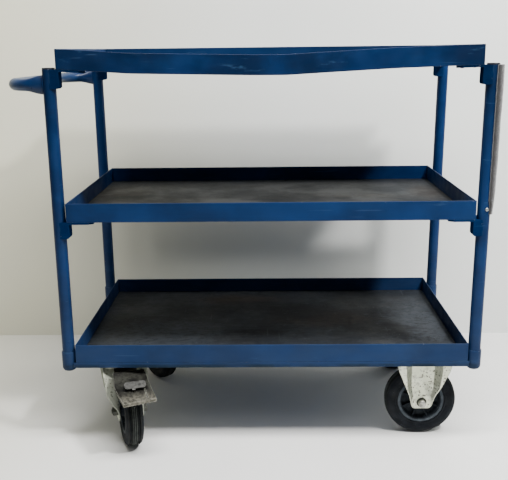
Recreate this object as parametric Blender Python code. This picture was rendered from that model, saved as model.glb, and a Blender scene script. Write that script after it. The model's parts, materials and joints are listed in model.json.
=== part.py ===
"""Three-tier tray trolley for workshops and service rooms.

A tubular steel frame carries three folded sheet trays. It stands on two fixed castors at the
right end and two braked swivel castors at the left end, under the push handle.
Metres, +Z up. X runs along the trolley with the handle at -X, and -Y is its front.
Everything hangs on the empty "trolley", which is placed so that the origin lies on the floor
under the middle of the overall box. Heights below are above the floor.
"""

import math

import bmesh
import bpy
import numpy as np
from mathutils import Matrix, Vector

GAP = 0.0003

# Where the trays' centre lies, seen from the origin.
TRAY_CENTRE_X = 0.0376
TRAY_CENTRE_Y = 0.0460

# Trays and the mats that lie in them.
TRAY_LENGTH = 0.850
TRAY_DEPTH = 0.500
TRAY_LIP = 0.040
TRAY_SHEET = 0.002
SHELF_BOTTOM = 0.197
SHELF_PITCH = 0.3125
LINER_THICKNESS = 0.003
LINER_MARGIN = 0.001
# The top tray's front edge is bent down: (place along X, drop), with straight runs between the kinks.
SAG = (
    (-0.425, 0.0),
    (-0.320, 0.007),
    (-0.278, 0.010),
    (-0.036, 0.0155),
    (0.036, 0.016),
    (0.090, 0.013),
    (0.252, 0.005),
    (0.425, 0.0),
)

# Posts, their caps and the sleeves that they stand in.
POST_RADIUS = 0.01325
POST_WALL = 0.002
POST_CLEAR = 0.0004
POST_Y = TRAY_DEPTH / 2 - POST_RADIUS
# The frame is a little out of square: each post's place along X at its foot and at its top.
POST_FOOT_X = {"front_left": -0.4425, "front_right": 0.4408, "rear_left": -0.4435, "rear_right": 0.4450}
POST_TOP_X = {"front_left": -0.4425, "front_right": 0.4455, "rear_left": -0.4455, "rear_right": 0.4510}
POST_BOTTOM = 0.1835
POST_SEGMENTS = 20
CAP_RIM = 0.0033
CAP_STEM = 0.012
SLEEVE_RADIUS = 0.0153
SLEEVE_BOTTOM = 0.1755
SLEEVE_TOP = 0.2205
SLEEVE_ROUND = 0.005

# Brackets that hang the top and middle trays on the posts.
BRACKET_REACH = 0.0225
BRACKET_DROP = {1: 0.0345, 2: 0.0380}
BRACKET_SHEET = 0.0025
BRACKET_CORNER = 0.0055
GUSSET_THICKNESS = 0.004
GUSSET_REACH_X = 0.073
GUSSET_REACH_Y = 0.058
TRAY_SEAT_GAP = 0.0005

# Angle frame under the bottom tray.
RAIL_HEIGHT = 0.012
RAIL_WIDTH = 0.040
RAIL_SHEET = 0.003

# Push handle.
HANDLE_RADIUS = 0.0125
HANDLE_WALL = 0.002
HANDLE_HEIGHT = 0.7915
HANDLE_X = 0.5315
HANDLE_BEND = 0.072
HANDLE_FLARE_LENGTH = 0.036
HANDLE_END_HEIGHT = 0.038
HANDLE_END_WIDTH = 0.016
HANDLE_SIDES = 14

# Felt strip and its screw on the front right post.
FELT_LOW = 0.5196
FELT_HIGH = 0.8225
FELT_TO = 155
FELT_EDGE = 6
# Its thickness, and the angle that it starts from beside the screw and above it, by share of its height.
FELT_STATIONS = (
    (0, 0.0050, 32),
    (0.060, 0.0064, 32),
    (0.100, 0.0072, 22),
    (0.200, 0.0084, 22),
    (0.400, 0.0090, 22),
    (0.600, 0.0092, 22),
    (0.800, 0.0100, 22),
    (0.940, 0.0098, 22),
    (1, 0.0090, 22),
)
SCREW_HEIGHT = 0.531
SCREW_ANGLE = 13
SCREW_RADIUS = 0.0037

# Castors. In a castor's own frame +X is the way the wheel trails and the axle lies along Y.
WHEEL_RADIUS = 0.080
TYRE_WIDTH = 0.040
RIM_RADIUS = 0.052
RIM_INNER = 0.042
RIM_WIDTH = 0.036
HUB_RADIUS = 0.014
HUB_WIDTH = 0.043
WEB_THICKNESS = 0.006
AXLE_RADIUS = 0.006
BORE_CLEAR = 0.0004
FIXED_X = 0.3385
CASTOR_Y = 0.180
PLATE_LENGTH = 0.135
PLATE_DEPTH = 0.110
PLATE_THICKNESS = 0.004
PLATE_TOP = SHELF_BOTTOM - RAIL_SHEET - 2 * GAP
CHEEK_INNER = 0.024
CHEEK_SHEET = 0.003
CHEEK_STEP = 0.014
FIXED_PIN_RADIUS = 0.0085
FIXED_PIN_END = 0.039
FIXED_HOLE_RADIUS = 0.010
# A cheek's stations from the top down: height, middle along X, half width, half width of the sunk
# panel, the panel's inner face, and the outer face of the two flanks beside the panel.
FIXED_CHEEK = (
    (0.163, 0, 0.056, 0.027, 0.0295, 0.050),
    (0.120, 0, 0.038, 0.026, 0.0265, 0.044),
    (0.098, 0, 0.029, 0.021, 0.0248, 0.034),
    (0.080, 0, 0.0245, 0.0190, 0.024, 0.0290),
    (0.072, 0, 0.0225, 0.0170, 0.024, 0.0285),
    (0.068, 0, 0.0200, 0.0145, 0.024, 0.0280),
    (0.0655, 0, 0.0150, 0.0100, 0.024, 0.0276),
)
SWIVEL_CHEEK = (
    (0.1785, 0.003, 0.041, 0.027, 0.0290, 0.050),
    (0.162, 0.0155, 0.0405, 0.026, 0.0282, 0.050),
    (0.150, 0.0225, 0.0375, 0.025, 0.0275, 0.049),
    (0.122, 0.0395, 0.0295, 0.020, 0.0262, 0.046),
    (0.100, 0.051, 0.0255, 0.017, 0.0240, 0.035),
    (0.091, 0.055, 0.0242, 0.0167, 0.024, 0.0290),
    (0.080, 0.058, 0.0230, 0.0165, 0.024, 0.0276),
    (0.068, 0.058, 0.0196, 0.0135, 0.024, 0.0276),
    (0.060, 0.058, 0.0110, 0.0060, 0.024, 0.0275),
)
# How much further out the flanks of a swivel fork's two cheeks stand, by side.
FLANK_SHIFT = {-1: 0.004, 1: -0.007}

SWIVEL_X = -0.333
TRAIL = 0.058
# The way each swivel castor trails at rest, in degrees from +X.
HEADING = {"front": -72, "rear": -55}
CROWN_BOTTOM = 0.1765
CROWN_THICKNESS = 0.004
RACE_RADIUS = 0.036
KING_RADIUS = 0.0075
KING_HEAD_BOTTOM = 0.1675
STUD_RADIUS = 0.004
STUD_END = 0.0208

# The brake pedal: its line along the top, how deep its edges are turned down, and its plan.
PEDAL_PIVOT = (0.056, 0.130)
PEDAL_SHEET = 0.003
PEDAL_SKIRT = 0.0065
PEDAL_LINE = ((0.062, 0.173), (0.066, 0.173), (0.100, 0.160), (0.175, 0.1393))
PEDAL_PLAN = ((0.062, -0.034), (0.108, -0.037), (0.164, -0.026), (0.158, 0.0445), (0.125, 0.0405), (0.062, 0.034))
PEDAL_HOLLOW = (
    (0.050, -0.0315),
    (0.1078, -0.0345),
    (0.1612, -0.0240),
    (0.1557, 0.0417),
    (0.1254, 0.0380),
    (0.050, 0.0315),
)
ARM_FACES = (0.0214, 0.0239)

# The small release tab that hinges on the pedal.
TAB_PIVOT = (0.1130, 0.1605)
TAB_OFFSET = 0.0055
TAB_BARREL = 0.0030
TAB_PIN = 0.0015
TAB_CENTRE = (0.121, 0.1635)
TAB_TILT = 30
LUG_FACES = (0.0125, 0.0155)

CORNERS = {
    "front_left": (-1, -1),
    "front_right": (1, -1),
    "rear_left": (-1, 1),
    "rear_right": (1, 1),
}


def shelf_height(level):
    return SHELF_BOTTOM + level * SHELF_PITCH


def post_x(corner, height):
    """Where a post's centre line lies along X at a height."""
    share = (height - POST_BOTTOM) / (shelf_height(2) - POST_BOTTOM)
    return POST_FOOT_X[corner] + share * (POST_TOP_X[corner] - POST_FOOT_X[corner])


# ---------------------------------------------------------------- outlines


def arc(centre, radius, start, end, steps):
    """Points on an arc, angles in degrees, both ends included."""
    angles = np.radians(np.linspace(start, end, steps + 1))
    return [(centre[0] + radius * math.cos(a), centre[1] + radius * math.sin(a)) for a in angles]


def rounded_rectangle(low, high, radius, steps=3):
    (x0, y0), (x1, y1) = low, high
    centres = ((x1 - radius, y1 - radius), (x0 + radius, y1 - radius))
    centres += ((x0 + radius, y0 + radius), (x1 - radius, y0 + radius))
    points = []
    for quarter, centre in enumerate(centres):
        points += arc(centre, radius, 90 * quarter, 90 * quarter + 90, steps)
    return points


def hexagon(centre, across_flats):
    return arc(centre, across_flats / math.sqrt(3), 0, 300, 5)


# ---------------------------------------------------------------- solids


def finished(bm, name):
    """Closes a bmesh into a mesh with its faces pointing out."""
    bmesh.ops.recalc_face_normals(bm, faces=bm.faces)
    mesh = bpy.data.meshes.new(name)
    bm.to_mesh(mesh)
    bm.free()
    return mesh


def placed(u, v, w, axis):
    """A point given across (u, v) and along (w) one of the axes."""
    return {"x": (w, u, v), "y": (u, w, v), "z": (u, v, w)}[axis]


def prism(outline, low, high, axis="z"):
    """An outline extruded along an axis. Its points are (y, z), (x, z) or (x, y)."""
    bm = bmesh.new()
    face = bm.faces.new([bm.verts.new(placed(u, v, low, axis)) for u, v in outline])
    grown = bmesh.ops.extrude_face_region(bm, geom=[face])["geom"]
    verts = [item for item in grown if isinstance(item, bmesh.types.BMVert)]
    bmesh.ops.translate(bm, verts=verts, vec=Vector(placed(0, 0, high - low, axis)))
    return finished(bm, "prism")


def skinned(rings, looped=False):
    """A skin over rings of points. A looped skin closes on itself, and another gets two end faces."""
    bm = bmesh.new()
    loops = [[bm.verts.new(point) for point in ring] for ring in rings]
    pairs = list(zip(loops, loops[1:]))
    if looped:
        pairs.append((loops[-1], loops[0]))
    else:
        bm.faces.new(loops[0])
        bm.faces.new(loops[-1])
    for one, other in pairs:
        for k in range(len(one)):
            after = (k + 1) % len(one)
            bm.faces.new((one[k], one[after], other[after], other[k]))
    bmesh.ops.triangulate(bm, faces=bm.faces)
    return finished(bm, "skin")


def turned(profile, segments, axis="z", centre=(0, 0)):
    """A profile of (radius, place along the axis) turned about that axis. Radius 0 is a pole."""
    bm = bmesh.new()
    rings = []
    for radius, along in profile:
        if radius == 0:
            rings.append([bm.verts.new(placed(*centre, along, axis))])
            continue
        circle = arc(centre, radius, 0, 360 - 360 / segments, segments - 1)
        rings.append([bm.verts.new(placed(u, v, along, axis)) for u, v in circle])
    solid = len(rings[0]) == 1
    for one, other in zip(rings, rings[1:] + ([] if solid else rings[:1])):
        for k in range(segments):
            after = (k + 1) % segments
            corners = [one[k % len(one)], one[after % len(one)]]
            corners += [other[after % len(other)], other[k % len(other)]]
            bm.faces.new(list(dict.fromkeys(corners)))
    return finished(bm, "turned")


def rod(radius, low, high, axis="z", centre=(0, 0), segments=24):
    return turned(((0, low), (radius, low), (radius, high), (0, high)), segments, axis, centre)


def combined(base, others, operation):
    """The mesh base with other meshes joined to it or cut from it, one after the other."""
    helpers = [bpy.data.objects.new("helper", mesh) for mesh in (base, *others)]
    for helper in helpers:
        bpy.context.scene.collection.objects.link(helper)
        helper.hide_render = True
        helper.display_type = "WIRE"
    for helper in helpers[1:]:
        modifier = helpers[0].modifiers.new("Boolean", "BOOLEAN")
        modifier.operation = operation
        modifier.object = helper
    graph = bpy.context.evaluated_depsgraph_get()
    mesh = bpy.data.meshes.new_from_object(helpers[0].evaluated_get(graph))
    for helper in helpers:
        bpy.data.objects.remove(helper)
    return mesh


def joined(base, *others):
    return combined(base, others, "UNION")


def cut(base, *others):
    return combined(base, others, "DIFFERENCE")


def shared(base, *others):
    return combined(base, others, "INTERSECT")


def moved(mesh, matrix):
    """A copy of the mesh under a matrix, with its faces turned back out where the matrix mirrors."""
    bm = bmesh.new()
    bm.from_mesh(mesh)
    bmesh.ops.transform(bm, matrix=matrix, verts=bm.verts)
    if matrix.determinant() < 0:
        bmesh.ops.reverse_faces(bm, faces=bm.faces)
    copy = bpy.data.meshes.new(mesh.name)
    bm.to_mesh(copy)
    bm.free()
    return copy


# ---------------------------------------------------------------- scene


def clear_scene():
    for thing in list(bpy.data.objects):
        bpy.data.objects.remove(thing, do_unlink=True)


def material(name, colour, roughness, metallic):
    made = bpy.data.materials.new(name)
    made.use_nodes = True
    shader = made.node_tree.nodes["Principled BSDF"]
    shader.inputs["Base Color"].default_value = (*colour, 1)
    shader.inputs["Roughness"].default_value = roughness
    shader.inputs["Metallic"].default_value = metallic
    return made


def empty(name, parent=None, location=(0, 0, 0), heading=0):
    made = bpy.data.objects.new(name, None)
    bpy.context.scene.collection.objects.link(made)
    made.parent = parent
    made.location = location
    made.rotation_euler.z = math.radians(heading)
    return made


def piece(name, mesh, finish, parent, location=(0, 0, 0)):
    """One named sub-part, shaded smooth but for its sharp edges."""
    mesh = mesh.copy()
    mesh.name = name
    mesh.materials.clear()
    mesh.materials.append(finish)
    mesh.shade_smooth()
    mesh.set_sharp_from_angle(angle=math.radians(35))
    made = bpy.data.objects.new(name, mesh)
    bpy.context.scene.collection.objects.link(made)
    made.parent = parent
    made.location = location
    return made


# ---------------------------------------------------------------- trays


def flat(x, y):
    return 0.0


def sagging(x, y):
    """How far the bent top tray lies below a flat one. Its rear edge is straight."""
    places, drops = zip(*SAG)
    return float(np.interp(x, places, drops)) * (TRAY_DEPTH / 2 - y) / TRAY_DEPTH


def stations(half, inner):
    """Places across a tray, from wall to wall, with some between."""
    return [-half] + [place for place in inner if abs(place) < half] + [half]


def rim_order(columns, rows):
    """The (column, row) pairs round the edge of a grid, in turn."""
    order = [(i, 0) for i in range(columns - 1)]
    order += [(columns - 1, j) for j in range(rows - 1)]
    order += [(i, rows - 1) for i in range(columns - 1, 0, -1)]
    order += [(0, j) for j in range(rows - 1, 0, -1)]
    return order


def grid_points(bm, inset, height, drop, inner_x, inner_y):
    xs = stations(TRAY_LENGTH / 2 - inset, inner_x)
    ys = stations(TRAY_DEPTH / 2 - inset, inner_y)
    return [[bm.verts.new((x, y, height - drop(x, y))) for y in ys] for x in xs]


def fill_grid(bm, grid):
    for left, right in zip(grid, grid[1:]):
        for j in range(len(left) - 1):
            bm.faces.new((left[j], right[j], right[j + 1], left[j + 1]))


def bridge(bm, one, other):
    """Faces between the edges of two grids."""
    order = rim_order(len(one), len(one[0]))
    for (i, j), (k, m) in zip(order, order[1:] + order[:1]):
        bm.faces.new((one[i][j], one[k][m], other[k][m], other[i][j]))


def drop_rim(bm, grid):
    """Takes away a grid's inner points, which leaves its edge."""
    for column in grid[1:-1]:
        for vert in column[1:-1]:
            bm.verts.remove(vert)


def tray_mesh(drop, inner_x, inner_y):
    """A floor with four upright lips, folded from one sheet."""
    bm = bmesh.new()
    shape = (drop, inner_x, inner_y)
    underside = grid_points(bm, 0, 0, *shape)
    outer_rim = grid_points(bm, 0, TRAY_LIP, *shape)
    inner_rim = grid_points(bm, TRAY_SHEET, TRAY_LIP, *shape)
    floor = grid_points(bm, TRAY_SHEET, TRAY_SHEET, *shape)
    drop_rim(bm, outer_rim)
    drop_rim(bm, inner_rim)
    fill_grid(bm, underside)
    fill_grid(bm, floor)
    bridge(bm, underside, outer_rim)
    bridge(bm, outer_rim, inner_rim)
    bridge(bm, inner_rim, floor)
    return finished(bm, "tray")


def liner_mesh(drop, inner_x, inner_y):
    """A mat that covers a tray's floor."""
    bm = bmesh.new()
    inset = TRAY_SHEET + LINER_MARGIN
    low = TRAY_SHEET + GAP
    underside = grid_points(bm, inset, low, drop, inner_x, inner_y)
    top = grid_points(bm, inset, low + LINER_THICKNESS, drop, inner_x, inner_y)
    fill_grid(bm, underside)
    fill_grid(bm, top)
    bridge(bm, underside, top)
    return finished(bm, "liner")


def add_trays(trolley, paint, mat_finish):
    kinks = [place for place, _ in SAG[1:-1]]
    rows = [-TRAY_DEPTH / 6, TRAY_DEPTH / 6]
    shapes = {"bottom": (flat, [], []), "middle": (flat, [], []), "top": (sagging, kinks, rows)}
    for level, (name, shape) in enumerate(shapes.items()):
        place = (0, 0, shelf_height(level))
        piece(f"tray_{name}", tray_mesh(*shape), paint, trolley, place)
        piece(f"tray_liner_{name}", liner_mesh(*shape), mat_finish, trolley, place)


# ---------------------------------------------------------------- frame


def post_mesh():
    top = shelf_height(2)
    inner = POST_RADIUS - POST_WALL
    profile = ((POST_RADIUS, POST_BOTTOM), (POST_RADIUS, top), (inner, top), (inner, POST_BOTTOM))
    return turned(profile, POST_SEGMENTS)


def cap_mesh():
    """A plug with a flat rim that covers the end of a post."""
    top = shelf_height(2) + GAP
    stem = POST_RADIUS - POST_WALL - POST_CLEAR
    profile = [(0, top + CAP_RIM), (POST_RADIUS - 0.001, top + CAP_RIM)]
    profile += [(POST_RADIUS, top + CAP_RIM - 0.001), (POST_RADIUS, top), (stem, top)]
    profile += [(stem, top - CAP_STEM), (0, top - CAP_STEM)]
    return turned(profile, POST_SEGMENTS)


def sleeve_mesh():
    """A socket with a domed foot, which a post stands in."""
    bore = POST_RADIUS + POST_CLEAR
    floor = POST_BOTTOM - GAP
    dome = arc((SLEEVE_RADIUS - SLEEVE_ROUND, SLEEVE_BOTTOM + SLEEVE_ROUND), SLEEVE_ROUND, -90, 0, 3)
    profile = [(0, SLEEVE_BOTTOM), *dome, (SLEEVE_RADIUS, SLEEVE_TOP)]
    profile += [(bore, SLEEVE_TOP), (bore, floor), (0, floor)]
    return turned(profile, POST_SEGMENTS)


def bracket_mesh(drop):
    """A pressed cup that clasps a post, with the gusset that the tray is bolted to.

    The post's centre is at x = y = 0 and the tray's underside at z = 0, and the bracket reaches
    along +X and +Y.
    """
    half = POST_RADIUS
    sheet = BRACKET_SHEET
    roof = -TRAY_SEAT_GAP
    ceiling = roof - GUSSET_THICKNESS
    low = roof - drop
    reach = BRACKET_REACH
    corner = BRACKET_CORNER
    bend = arc((reach - corner, low + corner), corner, 0, -90, 4)
    shell = prism([(0, low), (0, roof), (reach, roof), *bend], -half, half, "y")
    bend = arc((reach - corner, low + corner), corner - sheet, 0, -90, 4)
    hollow = [(-reach, low + sheet), (-reach, ceiling), (reach - sheet, ceiling), *bend]
    hollow = prism(hollow, -half + sheet, half - sheet, "y")
    gusset = [(0, -half), (GUSSET_REACH_X - 0.010, -half), (GUSSET_REACH_X, -half + 0.006)]
    gusset += [(GUSSET_REACH_X, half - 0.010), (reach - 0.010, GUSSET_REACH_Y), (0.008, GUSSET_REACH_Y)]
    gusset = prism(gusset + [(0, half)], ceiling, roof)
    post = rod(POST_RADIUS + POST_CLEAR, low - 0.01, 0.01, segments=POST_SEGMENTS)
    return cut(joined(cut(shell, hollow), gusset), post)


def leaning(mesh, corner, base=0.0):
    """Leans a mesh, drawn about a post's centre at a height, so that it follows the post."""
    for vert in mesh.vertices:
        vert.co.x += post_x(corner, base + vert.co.z) - post_x(corner, base)
    return mesh


def post_place(corner, height=0.0):
    return Vector((post_x(corner, height), CORNERS[corner][1] * POST_Y, 0))


def bent_with_tray(mesh, centre):
    """Bends a bracket's gusset down with the sagging tray above it."""
    for vert in mesh.vertices:
        vert.co.z -= sagging(centre[0] + vert.co.x, centre[1] + vert.co.y)
    return mesh


def rail_mesh(length, ends=None):
    """An angle along X with its outer face at y = 0 and a mitred flange.

    Given the places of its two ends, its wall runs out to each of them, where it is welded to
    a sleeve. Without them, the rail fits between two others.
    """
    half = length / 2
    sheet, width, height = RAIL_SHEET, RAIL_WIDTH, RAIL_HEIGHT
    low = height - sheet
    gap = 0 if ends else 2 * GAP
    bm = bmesh.new()
    sides = []
    for side, end in zip((-1, 1), ends or (gap + sheet - half, half - sheet - gap)):
        corner = side * (half - sheet - gap)
        inner = side * (half - width - gap)
        points = ((end, 0, 0), (end, 0, height), (end, sheet, height), (end, sheet, 0))
        points += ((corner, sheet, low), (inner, width, low), (inner, width, height), (corner, sheet, height))
        sides.append([bm.verts.new(point) for point in (points if ends else points[:2] + points[3:7])])
    if ends:
        strips = ((0, 1), (3, 0), (3, 4), (4, 5), (5, 6), (6, 7))
        caps = ((0, 1, 2, 3), (2, 3, 4, 7), (4, 5, 6, 7))
    else:
        strips = ((0, 1), (2, 0), (2, 3), (3, 4), (4, 5), (5, 1))
        caps = ((0, 1, 3, 2), (1, 3, 4), (1, 4, 5))
    for one, other in strips:
        bm.faces.new((sides[0][one], sides[0][other], sides[1][other], sides[1][one]))
    if ends:
        bm.faces.new([sides[0][k] for k in (1, 2, 7)] + [sides[1][k] for k in (7, 2, 1)])
    for points in sides:
        for cap in caps:
            bm.faces.new([points[k] for k in cap])
    return finished(bm, "rail")


def add_rails(trolley, paint):
    """Front and rear rails reach the sleeves, and the side rails fit between them."""
    base = SHELF_BOTTOM - RAIL_HEIGHT - GAP
    chord = math.sqrt(SLEEVE_RADIUS**2 - (POST_RADIUS - RAIL_SHEET) ** 2) + GAP
    reach = {corner: abs(post_x(corner, base)) - chord for corner in CORNERS}
    front = rail_mesh(TRAY_LENGTH, (-reach["front_left"], reach["front_right"]))
    rear = rail_mesh(TRAY_LENGTH, (-reach["rear_right"], reach["rear_left"]))
    side = rail_mesh(TRAY_DEPTH)
    for name, turn, mesh, distance in (
        ("front", 0, front, TRAY_DEPTH / 2),
        ("rear", 180, rear, TRAY_DEPTH / 2),
        ("left", -90, side, TRAY_LENGTH / 2),
        ("right", 90, side, TRAY_LENGTH / 2),
    ):
        turning = Matrix.Rotation(math.radians(turn), 4, "Z")
        outward = turning @ Vector((0, -distance, base))
        piece(f"base_rail_{name}", moved(mesh, turning), paint, trolley, outward)


def add_posts(trolley, paint, plastic):
    brackets = {level: bracket_mesh(drop) for level, drop in BRACKET_DROP.items()}
    for corner, (side_x, side_y) in CORNERS.items():
        place = post_place(corner)
        piece(f"post_{corner}", leaning(post_mesh(), corner), paint, trolley, place)
        piece(f"post_cap_{corner}", leaning(cap_mesh(), corner), plastic, trolley, place)
        piece(f"foot_sleeve_{corner}", leaning(sleeve_mesh(), corner), paint, trolley, place)
        mirrored = Matrix.Diagonal((-side_x, -side_y, 1, 1))
        for level, name in ((1, "middle"), (2, "top")):
            height = shelf_height(level)
            place = post_place(corner, height)
            mesh = leaning(moved(brackets[level], mirrored), corner, height)
            if name == "top":
                mesh = bent_with_tray(mesh, place)
            piece(f"bracket_{name}_{corner}", mesh, paint, trolley, place + Vector((0, 0, height)))


def handle_route():
    """Places along the handle's centre line, from one post to the other, as (point, normal, distance)."""
    half = POST_Y
    bend = HANDLE_BEND
    turns = arc((-(HANDLE_X - bend), -(half - bend)), bend, 270, 180, 7)
    front = post_x("front_left", HANDLE_HEIGHT) + 0.002
    rear = post_x("rear_left", HANDLE_HEIGHT) + 0.002
    points = [(front, -half)] + turns + [(x, -y) for x, y in reversed(turns)] + [(rear, half)]
    directions = [Vector((-1, 0))]
    directions += [Vector(after) - Vector(before) for before, after in zip(points, points[2:])]
    directions.append(Vector((1, 0)))
    travelled = np.cumsum([0] + [math.dist(a, b) for a, b in zip(points, points[1:])])
    whole = travelled[-1]
    route = []
    for point, direction, distance in zip(points, directions, travelled):
        direction.normalize()
        normal = Vector((direction.y, -direction.x))
        route.append((Vector(point), normal, min(distance, whole - distance)))
    return route


def handle_section(point, normal, from_end, wall):
    """An upright oval at the posts that turns into a circle along the flare."""
    share = max(0.0, 1 - from_end / HANDLE_FLARE_LENGTH)
    share = share * share * (3 - 2 * share)
    tall = HANDLE_RADIUS + share * (HANDLE_END_HEIGHT / 2 - HANDLE_RADIUS) - wall
    wide = HANDLE_RADIUS + share * (HANDLE_END_WIDTH / 2 - HANDLE_RADIUS) - wall
    ring = []
    for across, up in arc((0, 0), 1, 0, 360 - 360 / HANDLE_SIDES, HANDLE_SIDES - 1):
        place = point + normal * wide * across
        ring.append((place.x, place.y, HANDLE_HEIGHT + tall * up))
    return ring


def add_handle(trolley, paint):
    route = handle_route()
    outer = [handle_section(*stop, 0) for stop in route]
    inner = [handle_section(*stop, HANDLE_WALL) for stop in reversed(route)]
    tube = skinned(outer + inner, looped=True)
    span = (HANDLE_HEIGHT - 0.05, HANDLE_HEIGHT + 0.05)
    posts = []
    for corner in ("front_left", "rear_left"):
        centre = post_place(corner, HANDLE_HEIGHT)
        posts.append(rod(POST_RADIUS + POST_CLEAR, *span, "z", (centre.x, centre.y), POST_SEGMENTS))
    piece("push_handle", cut(tube, *posts), paint, trolley)


# ---------------------------------------------------------------- felt strip


def felt_mesh():
    """A strip that wraps the outer side of a post. Its angles run from the front towards +X."""
    inner = POST_RADIUS + POST_CLEAR
    rings = []
    for share, thick, angle in FELT_STATIONS:
        height = FELT_LOW + share * (FELT_HIGH - FELT_LOW)
        start, end = angle - 90, FELT_TO - 90
        outside = arc((0, 0), inner + thick, start + FELT_EDGE, end - FELT_EDGE, 10)
        inside = arc((0, 0), inner, end, start, 10)
        rings.append([(x, y, height) for x, y in outside + inside])
    return skinned(rings)


def add_felt(trolley, felt, steel):
    piece("felt_strip", leaning(felt_mesh(), "front_right"), felt, trolley, post_place("front_right"))
    head = turned(((0, 0), (SCREW_RADIUS, 0), (SCREW_RADIUS, 0.001), (0.0025, 0.0025), (0, 0.0025)), 16)
    lying = Matrix.Rotation(math.radians(SCREW_ANGLE), 4, "Z") @ Matrix.Rotation(math.radians(90), 4, "X")
    out = Vector((math.sin(math.radians(SCREW_ANGLE)), -math.cos(math.radians(SCREW_ANGLE)), 0))
    spot = post_place("front_right", SCREW_HEIGHT) + out * (POST_RADIUS + POST_CLEAR)
    spot.z = SCREW_HEIGHT
    piece("felt_screw", moved(head, lying), steel, trolley, spot)


# ---------------------------------------------------------------- castors


def tyre_mesh():
    half = TYRE_WIDTH / 2
    bead = RIM_RADIUS + 2 * GAP
    side = [(bead, half - 0.002), (0.068, half), (0.0755, half - 0.0035), (0.079, half - 0.0085)]
    side.append((WHEEL_RADIUS, half - 0.015))
    return turned(side + [(radius, -along) for radius, along in reversed(side)], 32, "y")


def rim_mesh():
    """A hub, a web and an outer ring, turned in one piece."""
    bore = AXLE_RADIUS + BORE_CLEAR
    side = [(bore, HUB_WIDTH / 2), (HUB_RADIUS, HUB_WIDTH / 2), (HUB_RADIUS, WEB_THICKNESS / 2)]
    side += [(RIM_INNER, WEB_THICKNESS / 2), (RIM_INNER, RIM_WIDTH / 2), (RIM_RADIUS, RIM_WIDTH / 2)]
    return turned(side + [(radius, -along) for radius, along in reversed(side)], 24, "y")


def cheek_ring(height, centre, half, panel, inner, outer, side):
    """The section of a fork's cheek: a sunk panel between two flanks. Side is -1 or 1 along Y."""
    sheet = CHEEK_SHEET
    rise = outer - sheet - inner
    step = min(CHEEK_STEP, 0.9 * (half - panel))
    reach = ((-half, rise), (-panel - step, rise), (-panel, 0), (panel, 0), (panel + step, rise), (half, rise))
    thin = sheet * (math.hypot(rise, step) - step) / rise
    far = ((half, rise), (panel + step - thin, rise), (panel - thin, 0))
    far += ((thin - panel, 0), (thin - panel - step, rise), (-half, rise))
    near = [(centre + x, side * (inner + y), height) for x, y in reach]
    return near + [(centre + x, side * (inner + sheet + y), height) for x, y in far]


def cheek_mesh(stations_down, side, shift=0.0):
    rings = []
    for *station, inner, outer in stations_down:
        share = min(1, max(0, (station[0] - WHEEL_RADIUS) / 0.018))
        outer = max(outer + share * shift, inner + CHEEK_SHEET + 0.0005)
        rings.append(cheek_ring(*station, inner, outer, side))
    return skinned(rings)


def plate_mesh():
    half = (PLATE_LENGTH / 2, PLATE_DEPTH / 2)
    outline = rounded_rectangle((-half[0], -half[1]), half, 0.010)
    return prism(outline, PLATE_TOP - PLATE_THICKNESS, PLATE_TOP)


def fixed_fork_mesh():
    """Two pressed cheeks under a plate, with a hole in each for the axle's thick ends."""
    top = (PLATE_TOP - PLATE_THICKNESS / 2, 0, 0.063, 0.027, 0.031, 0.050)
    cheeks = [cheek_mesh((top, *FIXED_CHEEK), side) for side in (-1, 1)]
    centre = (0, WHEEL_RADIUS + FIXED_HOLE_RADIUS - FIXED_PIN_RADIUS - GAP)
    return cut(joined(plate_mesh(), *cheeks), rod(FIXED_HOLE_RADIUS, -0.06, 0.06, "y", centre, 20))


def fixed_axle_mesh():
    """A stepped pin whose thick ends sit in the cheeks."""
    step = HUB_WIDTH / 2 + GAP
    end = FIXED_PIN_END
    side = [(AXLE_RADIUS, step), (FIXED_PIN_RADIUS, step), (FIXED_PIN_RADIUS, end - 0.002)]
    side += [(FIXED_PIN_RADIUS - 0.0025, end), (0, end)]
    profile = [(radius, -along) for radius, along in reversed(side)] + side
    return turned(profile, 16, "y", (0, WHEEL_RADIUS))


def swivel_fork_mesh():
    """A crown that turns under the race, with two cheeks and the pedal's studs inside them."""
    outline = rounded_rectangle((-0.038, -0.050), (0.046, 0.050), 0.014)
    crown = prism(outline, CROWN_BOTTOM, CROWN_BOTTOM + CROWN_THICKNESS)
    extras = []
    for side in (-1, 1):
        span = sorted((side * STUD_END, side * 0.028))
        extras.append(cheek_mesh(SWIVEL_CHEEK, side, FLANK_SHIFT[side]))
        extras.append(rod(STUD_RADIUS, *span, "y", PEDAL_PIVOT, 10))
    king = rod(KING_RADIUS + BORE_CLEAR, 0.1, 0.2, segments=14)
    axle = rod(AXLE_RADIUS + BORE_CLEAR, -0.06, 0.06, "y", (TRAIL, WHEEL_RADIUS), 12)
    return cut(joined(crown, *extras), king, axle)


def swivel_axle_mesh():
    """A bolt through the cheeks and the hub, with its hexagon head and nut."""
    face = CHEEK_INNER + CHEEK_SHEET + GAP
    centre = (TRAIL, WHEEL_RADIUS)
    shank = rod(AXLE_RADIUS, -face - 0.0138, face + 0.004, "y", centre, 12)
    head = prism(hexagon(centre, 0.019), face, face + 0.0095, "y")
    nut = prism(hexagon(centre, 0.019), -face - 0.0120, -face, "y")
    return joined(shank, head, nut)


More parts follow.
